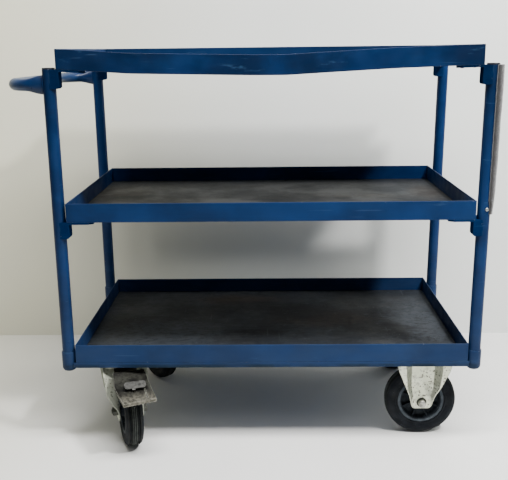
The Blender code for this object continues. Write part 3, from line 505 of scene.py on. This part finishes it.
def ring(bm, centre, radius, count, u, v, turn=0.0):
    """Points on a circle, or on an oval where u and v aren't as long as each other."""
    angles = [turn + 2 * math.pi * k / count for k in range(count)]
    return [bm.verts.new(centre + radius * (math.cos(a) * u + math.sin(a) * v)) for a in angles]


def join_rings(bm, rings, capped=True):
    """Quads from each ring to the next, which has as many points, and a face on each end."""
    for one, other in zip(rings, rings[1:]):
        for k in range(len(one)):
            after = (k + 1) % len(one)
            bm.faces.new((one[k], one[after], other[after], other[k]))
    if capped:
        bm.faces.new(rings[0])
        bm.faces.new(rings[-1])


def across(axis):
    """Two unit vectors square to an axis and to each other."""
    axis = axis.normalized()
    side = UP if abs(axis.z) < 0.9 else Vector((1, 0, 0))
    u = axis.cross(side).normalized()
    return u, axis.cross(u)


def lathe(bm, profile, origin, axis, segments=48):
    """Turns (radius, place along the axis) about an axis. Radius 0 closes an end."""
    axis = axis.normalized()
    u, v = across(axis)
    rings = []
    for radius, along in profile:
        centre = origin + axis * along
        rings.append(ring(bm, centre, radius, segments if radius > 0 else 1, u, v))
    for one, other in zip(rings, rings[1:]):
        for k in range(segments):
            after = (k + 1) % segments
            quad = [
                one[k % len(one)], one[after % len(one)], other[after % len(other)],
                other[k % len(other)]
            ]
            bm.faces.new(list(dict.fromkeys(quad)))


def closed_lathe(bm, profile, origin, axis, segments=48):
    """The same for a profile that doesn't touch the axis and closes on itself."""
    lathe(bm, list(profile) + [profile[0]], origin, axis, segments)


def mirrored(side):
    """A profile from half of it, whose places along the axis are counted from the middle."""
    return side + [(radius, -along) for radius, along in reversed(side)]


def half_depth(node):
    """Half of a node's size in Y, such as a post's radius."""
    low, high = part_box(node)
    return (high.y - low.y) / 2


def middle(node):
    low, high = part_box(node)
    return (low + high) / 2


def post_axis(node):
    """The centres of a post's foot and top."""
    points = [vert.co for vert in NODES[node].data.vertices]
    low, high = min(p.z for p in points), max(p.z for p in points)
    ends = []
    for level in (low, high):
        ring = [p for p in points if abs(p.z - level) < 0.0001]
        middle = [(min(p[k] for p in ring) + max(p[k] for p in ring)) / 2 for k in (0, 1)]
        ends.append(Vector((*middle, level)))
    return ends


def on_axis(ends, height):
    low, high = ends
    return low + (high - low) * ((height - low.z) / (high.z - low.z))


# Trays


def sag(x, y):
    """How far the bent top tray lies below a flat one, with its kinks a little softened."""
    local = x - CENTRE.x
    drop = np.mean([np.interp(local + d, SAG_PLACES, SAG_DROPS) for d in (-0.006, 0.0, 0.006)])
    return float(drop) * (HALF_Y - (y - CENTRE.y)) / (2 * HALF_Y)


def level(x, y):
    """The same for a tray that isn't bent."""
    return 0.0


def wobble(x, y, z, size, scale):
    """A smooth random height, the same at each run."""
    return size * noise.noise(Vector((x * scale, y * scale, z * scale)))


def places(half, step):
    count = max(2, round(2 * half / step))
    return [-half + 2 * half * k / count for k in range(count + 1)]


def grid(bm, inset, height, drop, step):
    """Points over a tray's plan, drawn in by inset, at a height less what drop gives."""
    rows = []
    for x in places(HALF_X, step):
        x = CENTRE.x + x * (HALF_X - inset) / HALF_X
        column = []
        for y in places(HALF_Y, step):
            y = CENTRE.y + y * (HALF_Y - inset) / HALF_Y
            column.append(bm.verts.new((x, y, height - drop(x, y))))
        rows.append(column)
    return rows


def fill(bm, rows):
    for left, right in zip(rows, rows[1:]):
        for j in range(len(left) - 1):
            bm.faces.new((left[j], right[j], right[j + 1], left[j + 1]))


def rim(rows):
    """A grid's outer points, in order."""
    last, end = len(rows) - 1, len(rows[0]) - 1
    order = [rows[i][0] for i in range(last)] + [rows[last][j] for j in range(end)]
    order += [rows[i][end] for i in range(last, 0, -1)]
    return order + [rows[0][j] for j in range(end, 0, -1)]


def bridge(bm, *grids):
    """A wall between the outer points of each grid and the next."""
    join_rings(bm, [rim(rows) for rows in grids], capped=False)


def hollow_grid(bm, *args):
    """A grid with only its outer points."""
    rows = grid(bm, *args)
    for column in rows[1:-1]:
        for vert in column[1:-1]:
            bm.verts.remove(vert)
    return rows


def tray(which, drop):
    """A folded tray: a floor and four lips, of one thickness."""
    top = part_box(f"tray_{which}")[1].z
    base = top - LIP
    half_way = base + 0.5 * LIP
    bm = bmesh.new()
    under = grid(bm, 0, base, drop, TRAY_STEP)
    mid_out = hollow_grid(bm, 0, half_way, drop, TRAY_STEP)
    out = hollow_grid(bm, 0, top, drop, TRAY_STEP)
    inner = hollow_grid(bm, SHEET, top, drop, TRAY_STEP)
    mid_in = hollow_grid(bm, SHEET, half_way, drop, TRAY_STEP)
    floor = grid(bm, SHEET, base + SHEET, drop, TRAY_STEP)
    fill(bm, under)
    fill(bm, floor)
    bridge(bm, under, mid_out, out, inner, mid_in, floor)
    bend_lips(bm, which, base, top, drop)
    piece = show(f"tray_shell_{which}", bm, PAINT, f"tray_{which}", smooth=40)
    rounded(piece, 0.0008, 3, 40)


def bend_lips(bm, which, base, top, drop):
    """Small bulges in the lips: they only move inwards, and the corners stay where they are."""
    deep = 0.0022 if which == "top" else 0.0008
    for vert in bm.verts:
        x, y, z = vert.co
        share = (z + drop(x, y) - base) / (top - base)
        if share < 0.2:
            continue
        near_x = HALF_X - abs(x - CENTRE.x)
        near_y = HALF_Y - abs(y - CENTRE.y)
        push = abs(wobble(x, y, z * 0.3 + len(which), deep, 9.0)) * share
        if near_y < 0.004:
            vert.co.y -= math.copysign(push * min(1.0, near_x / 0.06), y - CENTRE.y)
        elif near_x < 0.004:
            vert.co.x -= math.copysign(push * min(1.0, near_y / 0.06), x - CENTRE.x)


def liner(which, drop):
    """A mat with a slightly wavy surface and soft edges."""
    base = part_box(f"tray_{which}")[1].z - LIP
    under, above = base + SHEET + 0.0003, base + SHEET + 0.0030
    gap = SHEET + 0.0012
    bm = bmesh.new()
    rows = grid(bm, gap, above, drop, MAT_STEP)
    lower = hollow_grid(bm, gap, under, drop, MAT_STEP)
    for column in rows:
        for vert in column:
            vert.co.z += 0.0001 + wobble(vert.co.x, vert.co.y, under, 0.0003, 16.0)
    fill(bm, rows)
    bridge(bm, rows, lower)
    bm.faces.new(list(reversed(rim(lower))))
    piece = show(f"tray_mat_{which}", bm, MAT, f"tray_liner_{which}", smooth=50)
    rounded(piece, 0.0007, 2, 50)


# Frame


def tube_post(corner):
    node = f"post_{corner}"
    ends = post_axis(node)
    radius = half_depth(node)
    length = (ends[1] - ends[0]).length
    bore = radius - 0.0020
    profile = [(radius, length * share) for share in (0, 0.25, 0.5, 0.75)]
    profile += [
        (radius, length - 0.0006), (radius - 0.0006, length), (bore, length), (bore, length * 0.5),
        (bore, 0)
    ]
    bm = bmesh.new()
    closed_lathe(bm, profile, ends[0], ends[1] - ends[0], 56)
    show(f"tube_{corner}", bm, PAINT, node)


def plug(corner):
    """The black plug in a post's top."""
    node = f"post_cap_{corner}"
    ends = post_axis(f"post_{corner}")
    radius = half_depth(f"post_{corner}")
    foot = ends[1].z + 0.0003
    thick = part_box(node)[1].z - foot
    base = on_axis(ends, foot)
    profile = [
        (0, thick - 0.0003), (radius * 0.55, thick - 0.0002), (radius - 0.0016, thick - 0.0004),
        (radius - 0.0006, thick - 0.0011), (radius, thick - 0.0020), (radius, 0.0002),
        (radius - 0.0004, 0), (radius - 0.0026, 0), (radius - 0.0026, -0.0115), (0, -0.0115)
    ]
    bm = bmesh.new()
    lathe(bm, profile, base, ends[1] - ends[0], 48)
    show(f"plug_{corner}", bm, CAP, node, smooth=50)


def sleeve(corner):
    """The socket round a post's foot, with a domed bottom."""
    node = f"foot_sleeve_{corner}"
    ends = post_axis(f"post_{corner}")
    low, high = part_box(node)
    radius = half_depth(node)
    axis = ends[1] - ends[0]
    base = on_axis(ends, low.z)
    tall = high.z - low.z
    bore = radius - 0.00165
    profile = [
        (0, 0.0), (0.0055, 0.0004), (0.0100, 0.0013), (0.0128, 0.0030), (0.0145, 0.0056),
        (radius, 0.0092), (radius, tall - 0.0030), (radius - 0.0002, tall - 0.0010),
        (radius - 0.0007, tall - 0.0001), (bore + 0.0002, tall), (bore, tall - 0.0004),
        (bore, 0.012), (0, 0.012)
    ]
    bm = bmesh.new()
    lathe(bm, profile, base, axis, 56)
    show(f"socket_{corner}", bm, PAINT, node, smooth=50)


def handle():
    """A bent tube whose ends are flattened to a tall oval where they meet the posts."""
    height = middle("push_handle").z
    front, rear = post_axis("post_front_left"), post_axis("post_rear_left")
    start, end = on_axis(front, height), on_axis(rear, height)
    tube, bend, slack, count = 0.0125, 0.072, 0.0001, 40
    # The ends reach inside the posts, stay flat for a length, and then open into the round tube.
    inside, flat, flare = 0.006, 0.008, 0.036
    tall_end, wide_end = 0.019, 0.008
    turn_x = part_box("push_handle")[0].x + tube + bend
    points = []
    for share in np.linspace(0, 1, 14):
        x = start.x - inside + share * (turn_x - start.x + inside)
        points.append(Vector((x, start.y, height)))
    for angle in np.linspace(0, 90, 17)[1:]:
        a = math.radians(angle)
        x, y = turn_x - bend * math.sin(a), start.y + bend - bend * math.cos(a)
        points.append(Vector((x, y, height)))
    mirror = [Vector((p.x, end.y - (p.y - start.y), height)) for p in reversed(points)]
    bar = [points[-1].lerp(mirror[0], share) for share in np.linspace(0, 1, 12)[1:-1]]
    mirror[-1].x = end.x - inside
    points += bar + mirror
    travelled = np.cumsum([0] + [(b - a).length for a, b in zip(points, points[1:])])
    bm = bmesh.new()
    rings = []
    for k, point in enumerate(points):
        ahead, behind = points[min(k + 1, len(points) - 1)], points[max(k - 1, 0)]
        direction = (ahead - behind).normalized()
        side = Vector((direction.y, -direction.x, 0))
        from_end = min(travelled[k], travelled[-1] - travelled[k]) - flat
        share = min(1.0, max(0.0, 1 - from_end / flare))
        share = share * share * (3 - 2 * share)
        tall = tube + share * (tall_end - tube) - slack
        wide = tube + share * (wide_end - tube) - slack
        rings.append(ring(bm, point, 1.0, count, side * wide, UP * tall))
    join_rings(bm, rings)
    show("push_bar", bm, HANDLE_PAINT, "push_handle")


def bead(name, centre, u, v, size, thick, seed):
    """An uneven weld bead round an oval."""
    rng = random.Random(seed)
    bm = bmesh.new()
    rings = []
    steps = 40
    normal = u.cross(v).normalized()
    for k in range(steps):
        a = 2 * math.pi * k / steps
        out = u * size[0] * math.cos(a) + v * size[1] * math.sin(a)
        radius = thick * rng.uniform(0.75, 1.15)
        rings.append(ring(bm, centre + out, radius, 8, out.normalized(), normal))
    join_rings(bm, rings + rings[:1], capped=False)
    show(name, bm, PAINT, slot="blue_paint", smooth=60)


def handle_beads():
    for corner, seed in (("front_left", 3), ("rear_left", 4)):
        centre = on_axis(post_axis(f"post_{corner}"), middle("push_handle").z)
        centre.x -= 0.0118
        across_bar = Vector((0, 1, 0))
        bead(f"handle_weld_{corner}", centre, across_bar, UP, (0.0082, 0.0192), 0.0016, seed)


# Bolts


def hexagon_solid(bm, centre, axis, flats, tall, turn=0.0):
    """A chamfered hexagon, such as a nut or a bolt head, that rises from centre along axis."""
    u, v = across(axis)
    corner = flats / math.sqrt(3)
    profile = ((0.93, 0.0), (1, flats * 0.05), (1, tall - flats * 0.06), (0.90, tall))
    rings = []
    for share, along in profile:
        rings.append(ring(bm, centre + axis * along, corner * share, 6, u, v, turn))
    join_rings(bm, rings)


def nut_and_bolt(name, centre, axis, flats, tall, end, turn):
    """A washer, a nut and the bolt's end, drawn from the face that they are tightened on."""
    thick, pitch = 0.0014, 0.0010
    washer, shank = flats * 0.62, flats * 0.29
    bm = bmesh.new()
    profile = [
        (0, 0.0), (washer, 0.0), (washer, thick - 0.0003), (washer - 0.0003, thick), (0, thick)
    ]
    lathe(bm, profile, centre, axis, 28)
    hexagon_solid(bm, centre + axis * thick, axis, flats, tall, turn)
    foot = thick + tall
    thread = [(0, foot - 0.0004), (shank, foot - 0.0004)]
    for k in range(max(1, int(end / pitch))):
        thread += [(shank, foot + pitch * k + 0.0003), (shank * 0.88, foot + pitch * k + 0.0007)]
    thread += [(shank * 0.8, foot + end), (0, foot + end)]
    lathe(bm, thread, centre, axis, 20)
    show(name, bm, HARDWARE, slot="bright_steel", smooth=32)


def shelf_rivets():
    """Each gusset is riveted to its tray: two low domed heads below."""
    dome = [
        (0, -0.0016), (0.0022, -0.0015), (0.0038, -0.0010), (0.0046, 0.0), (0.0046, 0.0008),
        (0, 0.0008)
    ]
    for which in ("middle", "top"):
        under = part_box(f"tray_{which}")[1].z - LIP - 0.0045
        for corner in CORNERS:
            low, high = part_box(f"bracket_{which}_{corner}")
            side = 1 if "right" in corner else -1
            depth = 1 if "rear" in corner else -1
            inner_x = low.x if side > 0 else high.x
            bm = bmesh.new()
            for along, back in ((0.014, 0.024), (0.040, 0.030)):
                x, y = inner_x + side * along, CENTRE.y + depth * (HALF_Y - back)
                drop = sag(x, y) if which == "top" else 0
                lathe(bm, dome, Vector((x, y, under - drop)), UP, 24)
            show(f"rivets_{which}_{corner}", bm, PAINT, slot="blue_paint", smooth=50)


def plate_bolts():
    """Four nuts under each castor's plate."""
    for corner in CORNERS:
        swivels = corner in SWIVELS
        node = f"top_plate_{corner}" if swivels else f"fork_{corner}"
        place = middle(node)
        place.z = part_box(node)[1].z - 0.0042
        wide, deep = (0.0535, 0.0425) if swivels else (0.0590, 0.0475)
        flats, tall, end = 0.0125, 0.0050, 0.0010
        for k, (sx, sy) in enumerate(((1, 1), (1, -1), (-1, 1), (-1, -1))):
            spot = place + Vector((sx * wide, sy * deep, 0))
            nut_and_bolt(f"plate_bolt_{corner}_{k}", spot, -UP, flats, tall, end, turn=k)


# Wheels


def wheel_axis(corner):
    joint = JOINTS[f"wheel_spin_{corner}"]
    return Vector(joint["pos_m"]), Vector(joint["axis"]).normalized()


def tyre(corner):
    """Solid tyre: round grooves in the tread, and a raised band on each side."""
    centre, axis = wheel_axis(corner)
    side = [
        (0.0526, 0.0176), (0.0538, 0.0184), (0.0560, 0.0187), (0.0572, 0.0181), (0.0584, 0.0188),
        (0.0650, 0.0196), (0.0680, 0.0199), (0.0700, 0.0194), (0.0716, 0.0188), (0.0735, 0.0179),
        (0.0755, 0.0164), (0.0772, 0.0143), (0.0785, 0.0122)
    ]
    for place in (0.0098, 0.0059, 0.0020):
        crown = TYRE_RADIUS - 0.5 * max(0.0, place - 0.002) ** 2 / 0.0105
        side += [
            (crown - 0.0003, place + 0.0011), (crown - GROOVE_DEPTH, place + 0.0006),
            (crown - GROOVE_DEPTH, place - 0.0006), (crown - 0.0001, place - 0.0011)
        ]
    bm = bmesh.new()
    closed_lathe(bm, mirrored(side), centre, axis, 96)
    show(f"tyre_body_{corner}", bm, rubber(corner), f"tyre_{corner}", smooth=42)


def rim_body(corner):
    """A hub with eight ribs each side of a web, in a deep ring."""
    centre, axis = wheel_axis(corner)
    side = [
        (0.0064, 0.0213), (0.0072, 0.0215), (0.0112, 0.0215), (0.0122, 0.0209), (0.0130, 0.0150),
        (0.0150, 0.0050), (0.0165, 0.0034), (0.0260, 0.0030), (0.0400, 0.0030), (0.0415, 0.0036),
        (0.0432, 0.0120), (0.0436, 0.0160), (0.0442, 0.0172), (0.0460, 0.0172), (0.0460, 0.0160),
        (0.0520, 0.0160)
    ]
    bm = bmesh.new()
    closed_lathe(bm, mirrored(side), centre, axis, 64)
    show(f"rim_body_{corner}", bm, RIM, f"rim_{corner}", smooth=38)
    side = [
        (0.0462, 0.0150), (0.0462, 0.0174), (0.0468, 0.0180), (0.0478, 0.0180), (0.0508, 0.0177),
        (0.0519, 0.0170), (0.0519, 0.0150)
    ]
    bm = bmesh.new()
    for face in (1, -1):
        closed_lathe(bm, [(r, face * a) for r, a in side], centre, axis, 64)
    wheel = {"body": f"wheel_{corner}", "slot": "rim_plastic", "smooth": 38}
    show(f"rim_ring_{corner}", bm, RIM_RING, **wheel)
    show(f"rim_spokes_{corner}", spokes(centre, axis), RIM, **wheel)


def spokes(centre, axis):
    """Ribs that taper from the hub and widen again: (radius, half width, height) along each."""
    stations = [
        (0.0122, 0.0020, 0.0150), (0.0200, 0.0017, 0.0112), (0.0330, 0.0015, 0.0098),
        (0.0436, 0.0019, 0.0128)
    ]
    foot, soft = 0.0020, 0.0006
    u, v = across(axis)
    bm = bmesh.new()
    for face in (1, -1):
        for k in range(8):
            a = 2 * math.pi * (k + 0.5) / 8
            out = math.cos(a) * u + math.sin(a) * v
            wide = axis.cross(out)
            rings = []
            for r, half, tall in stations:
                section = [(-half, foot), (-half * 0.8, tall - soft), (-half * 0.45, tall)]
                section += [(-w, t) for w, t in reversed(section)]
                place = centre + out * r
                points = [place + wide * w + axis * face * t for w, t in section]
                rings.append([bm.verts.new(point) for point in points])
            join_rings(bm, rings)
    return bm


# Castors


def ball_race(corner):
    """Two races, one over the other, with a groove between them."""
    node = f"ball_race_{corner}"
    low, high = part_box(node)
    centre = middle(node)
    centre.z = low.z
    bore, radius, tall = 0.0182, (high.x - low.x) / 2, high.z - low.z
    neck, step = radius - 0.0030, radius - 0.0006
    profile = [
        (bore, 0.0), (radius - 0.0022, 0.0), (radius - 0.0008, 0.0005), (radius, 0.0018),
        (radius, tall * 0.36), (step, tall * 0.43), (neck, tall * 0.46)
    ]
    profile += [(r, tall - a) for r, a in reversed(profile)]
    bm = bmesh.new()
    closed_lathe(bm, profile, centre, UP, 64)
    show(f"race_{corner}", bm, ZINC, node, smooth=40)


def fixed_pin(corner):
    """The riveted pin of a castor that doesn't swivel, thicker outside its wheel."""
    node = f"axle_{corner}"
    low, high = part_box(node)
    end, radius = half_depth(node), (high.z - low.z) / 2
    side = [
        (0.0060, 0.0216), (radius - 0.0004, 0.0218), (radius, 0.0222), (radius, end - 0.0026),
        (radius - 0.0004, end - 0.0014), (radius - 0.0016, end - 0.0004), (radius - 0.0030, end),
        (0.0022, end), (0.0016, end - 0.0008), (0, end - 0.0010)
    ]
    bm = bmesh.new()
    profile = [(r, -a) for r, a in reversed(side)] + side
    lathe(bm, profile, middle(node), Vector((0, 1, 0)), 48)
    show(f"pin_{corner}", bm, HARDWARE, node, smooth=40)


def swivel_bolt(corner):
    """The wheel's bolt: shank, washers, chamfered head, nut and the bolt's threaded end."""
    centre, axis = wheel_axis(corner)
    face, thick = 0.0273, 0.0015
    end = face + 0.0112
    bm = bmesh.new()
    shank = [(0, -face - 0.001), (0.0058, -face - 0.001), (0.0058, face + 0.001), (0, face + 0.001)]
    lathe(bm, shank, centre, axis, 24)
    washer = [
        (0, face), (0.0098, face), (0.0098, face + 0.0011), (0.0094, face + thick),
        (0, face + thick)
    ]
    for way, tall, turn in ((1, 0.0078, 0.0), (-1, 0.0102, 0.3)):
        lathe(bm, [(r, way * a) for r, a in washer], centre, axis, 32)
        out = way * axis
        hexagon_solid(bm, centre + out * (face + thick), out, 0.0178, tall, turn)
    thread = [
        (0, 0.0), (0.0056, 0.0), (0.0050, 0.0006), (0.0056, 0.0011), (0.0050, 0.0017),
        (0.0054, 0.0021), (0.0046, 0.0025), (0, 0.0025)
    ]
    lathe(bm, [(r, -end - a) for r, a in thread], centre, axis, 24)
    show(f"wheel_bolt_{corner}", bm, SHADED_STEEL, f"axle_{corner}", smooth=32)


def heading(corner):
    """The way that a castor points, from its pivot to its wheel."""
    if corner not in SWIVELS:
        return Vector((1, 0, 0))
    ahead = wheel_axis(corner)[0] - Vector(JOINTS[f"swivel_{corner}"]["pos_m"])
    return Vector((ahead.x, ahead.y, 0)).normalized()


def fork_web(corner):
    """A near black plate that hangs from the fork's crown, behind the wheel: painted shade."""
    node = f"fork_{corner}"
    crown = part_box(node)[1].z - 0.0041
    waist, foot = crown - 0.016, 0.124
    # Places across the fork, and heights, of the plate's corners.
    outline = [
        (-0.0502, crown), (-0.0502, waist), (-0.0330, foot + 0.002), (-0.0300, foot),
        (0.0220, foot), (0.0250, foot + 0.002), (0.0392, waist), (0.0392, crown)
    ]
    pivot = Vector(JOINTS[f"swivel_{corner}"]["pos_m"])
    ahead = heading(corner)
    side = Vector((-ahead.y, ahead.x, 0))
    bm = bmesh.new()
    rings = []
    for along in (-0.0205, -0.0185):
        place = Vector((pivot.x, pivot.y, 0)) + ahead * along
        rings.append([bm.verts.new(place + side * t + UP * z) for t, z in outline])
    join_rings(bm, rings)
    piece = show(f"fork_web_{corner}", bm, SHADE_BLACK, body=body_of(node), slot="zinc_plate")
    rounded(piece, 0.0005)


# Felt


# Share of the height, thickness, and the angle in degrees where the edge starts.
FELT_STATIONS = (
    (0, 0.0050, 32),
    (0.060, 0.0064, 32),
    (0.100, 0.0072, 22),
    (0.200, 0.0084, 22),
    (0.400, 0.0090, 22),
    (0.600, 0.0092, 22),
    (0.800, 0.0100, 22),
    (0.940, 0.0098, 22),
    (1, 0.0090, 22),
)


def felt_strip():
    """A strip of felt wrapped round the outer side of the post, with soft uneven edges."""
    low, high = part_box("felt_strip")
    ends = post_axis("post_front_right")
    inner = half_depth("post_front_right") + 0.0004
    stop = math.radians(155 - 90)
    shares, depths, edges = zip(*FELT_STATIONS)
    tall, rows, columns = high.z - low.z, 150, 22
    bm = bmesh.new()
    skins = []
    for layer in (0, 1):
        skin = []
        for i in range(rows + 1):
            share = i / rows
            z = low.z + 0.0006 + share * (tall - 0.0012)
            centre = on_axis(ends, z)
            thick = np.interp(share, shares, depths) - 0.0007
            thick *= 0.93 + 0.07 * noise.noise(Vector((0, 3.0, z * 26)))
            start = math.radians(np.interp(share, shares, edges) - 90)
            line = []
            for j in range(columns + 1):
                along = j / columns
                edge = 0.0009 * noise.noise(Vector((j * 0.01, 7.0, z * 90))) / inner
                a = start + 0.03 + edge + along * (stop - start - 0.06)
                soft = math.sin(math.pi * min(1.0, max(0.0, along))) ** 0.25
                fuzz = 0.00045 * noise.noise(Vector((a * 18, 1.0, z * 320)))
                fuzz += 0.0004 * noise.noise(Vector((a * 6, 5.0, z * 90)))
                radius = inner + layer * max(0.0012, thick * (0.55 + 0.45 * soft) + fuzz)
                lift = 0.0006 * noise.noise(Vector((a * 12, 9.0, 2.0))) if i in (0, rows) else 0.0
                x, y = centre.x + radius * math.cos(a), centre.y + radius * math.sin(a)
                line.append(bm.verts.new((x, y, z + lift)))
            skin.append(line)
        skins.append(skin)
        fill(bm, skin)
    bridge(bm, *skins)
    strip = show("felt_pad", bm, FELT, "felt_strip", smooth=180)


def felt_screw():
    """A pan head with a dimple."""
    node = "felt_screw"
    centre = middle(node)
    post = on_axis(post_axis("post_front_right"), centre.z)
    axis = centre - post
    axis.z = 0
    axis.normalize()
    low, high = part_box(node)
    radius = (high.z - low.z) / 2
    profile = [
        (0, 0.0), (1, 0.0), (1, 0.0007), (0.92, 0.0014), (0.70, 0.0021), (0.40, 0.0024),
        (0.22, 0.0024), (0.12, 0.0012), (0, 0.0012)
    ]
    bm = bmesh.new()
    lathe(bm, [(radius * share, along) for share, along in profile], post + axis * 0.0137, axis, 24)
    show("screw_head", bm, HARDWARE, node, smooth=40)


# Build


def build_object():
    for which, drop in (("bottom", level), ("middle", level), ("top", sag)):
        tray(which, drop)
        liner(which, drop)
    for corner in CORNERS:
        tube_post(corner)
        plug(corner)
        sleeve(corner)
        tyre(corner)
        rim_body(corner)
        for which in ("middle", "top"):
            name = f"{which}_{corner}"
            refined(f"bracket_{name}", 0.0012, BRACKET_PAINT, f"hanger_{name}", angle=32)
    for side in ("front", "rear", "left", "right"):
        refined(f"base_rail_{side}", 0.0007, PAINT, f"angle_{side}")
    handle()
    handle_beads()
    shelf_rivets()
    plate_bolts()
    for corner in CORNERS:
        metal = zinc("zinc_plate", ahead=heading(corner), axle=wheel_axis(corner))
        refined(f"fork_{corner}", 0.0007, metal, f"fork_body_{corner}", angle=24)
    for corner in ("front_right", "rear_right"):
        fixed_pin(corner)
    for corner in SWIVELS:
        refined(f"top_plate_{corner}", 0.0006, ZINC, f"plate_{corner}")
        refined(f"king_bolt_{corner}", 0.0006, HARDWARE, f"king_{corner}")
        ball_race(corner)
        swivel_bolt(corner)
        fork_web(corner)
        refined(f"brake_pedal_{corner}", 0.0006, GRIMY_ZINC, f"pedal_{corner}", angle=24)
        refined(f"release_tab_{corner}", 0.0006, CHROME, f"tab_{corner}", angle=28)
    felt_strip()
    felt_screw()


# Stage, camera and lights

# From the trays' middle: the wall, and the camera, which then turns by yaw, pitch and roll.
WALL_DISTANCE = 0.442
CAMERA_PLACE = (-0.0045, -1.8209, 0.8561)
CAMERA_TURNS = (-0.0186161, 0.2409721, -0.0116150)
LENS, SENSOR = 54.93, 36
WARM_WHITE, COOL_WHITE = (1.0, 0.99, 0.97), (0.96, 0.98, 1.0)


def pale(name, noise_scale, tones, warm, warm_places, most, rough):
    """A pale surface that turns darker and warmer between two places along X, counted from the
    middle: painted shade with a warm cast.
    """
    s = Shading(name)
    tone = s.mix(s.ramp(s.noise(*noise_scale), 0.3, 0.7), *tones)
    near, far = warm_places
    side = s.ramp(s.axis("X"), CENTRE.x + near, CENTRE.x + far, 0.0, most)
    s.set(base_color=s.mix(side, tone, warm), roughness=rough)
    return s


def stage():
    tones = ((0.76, 0.76, 0.745), (0.82, 0.82, 0.805))
    floor = pale("pale_floor", (2.2, 4), tones, (0.72, 0.70, 0.58), (-0.3, -0.9), 0.6, 0.5)
    tones = ((0.76, 0.78, 0.755), (0.80, 0.82, 0.80))
    wall = pale("pale_wall", (1.6, 3), tones, (0.72, 0.70, 0.54), (0.1, -0.8), 0.85, 0.7)
    # The wall is clear from behind, so that it doesn't hide the trolley's back.
    behind = wall.add("ShaderNodeNewGeometry").outputs["Backfacing"]
    clear = wall.add("ShaderNodeBsdfTransparent").outputs[0]
    one_way = wall.add("ShaderNodeMixShader", {0: behind, 1: wall.shader.outputs[0], 2: clear})
    wall.feed(wall.tree.nodes["Material Output"].inputs["Surface"], one_way.outputs[0])
    back = CENTRE.y + WALL_DISTANCE
    for name, points, shade in (
        ("floor", [(-6, -6, 0), (6, -6, 0), (6, back, 0), (-6, back, 0)], floor),
        ("wall", [(-6, back, 0), (6, back, 0), (6, back, 4), (-6, back, 4)], wall),
    ):
        bm = bmesh.new()
        bm.faces.new([bm.verts.new(point) for point in points])
        mesh = bpy.data.meshes.new(name)
        bm.to_mesh(mesh)
        bm.free()
        mesh.materials.append(shade.material)
        add_object(name, mesh)


def camera():
    data = bpy.data.cameras.new("camera")
    made = add_object("camera", data)
    data.sensor_width = SENSOR
    data.sensor_fit = "HORIZONTAL"
    data.lens = LENS
    yaw, pitch, roll = CAMERA_TURNS
    level_way = Vector((math.sin(yaw), math.cos(yaw), 0))
    forward = level_way * math.cos(pitch) - UP * math.sin(pitch)
    right = Vector((math.cos(yaw), -math.sin(yaw), 0))
    up = right.cross(forward)
    x = math.cos(roll) * right + math.sin(roll) * up
    y = -math.sin(roll) * right + math.cos(roll) * up
    turned = Matrix((x, y, -forward)).transposed().to_4x4()
    made.matrix_world = Matrix.Translation(CENTRE + Vector(CAMERA_PLACE)) @ turned
    bpy.context.scene.camera = made


def area_light(name, location, target, size, power, colour):
    data = bpy.data.lights.new(name, "AREA")
    data.shape = "RECTANGLE"
    data.size, data.size_y = size
    data.energy = power
    data.color = colour
    made = add_object(name, data)
    made.location = location
    way = Vector(target) - Vector(location)
    made.rotation_euler = way.to_track_quat("-Z", "Y").to_euler()


def lights():
    world = bpy.data.worlds.new("studio")
    world.use_nodes = True
    background = world.node_tree.nodes["Background"]
    background.inputs["Color"].default_value = (0.93, 0.96, 1.0, 1)
    background.inputs["Strength"].default_value = 0.17
    bpy.context.scene.world = world
    area_light("overhead", (0.35, -0.78, 2.7), (0.3, -0.40, 0.0), (2.2, 0.50), 132, WARM_WHITE)
    area_light("side", (1.40, -1.2, 2.65), (0, 0.2, 0.3), (0.35, 0.2), 95, WARM_WHITE)
    area_light("front", (0.6, -2.3, 3.0), (0, 0, 0.3), (2.4, 1.0), 12, COOL_WHITE)


build_object()
stage()
camera()
lights()
bpy.context.view_layer.update()
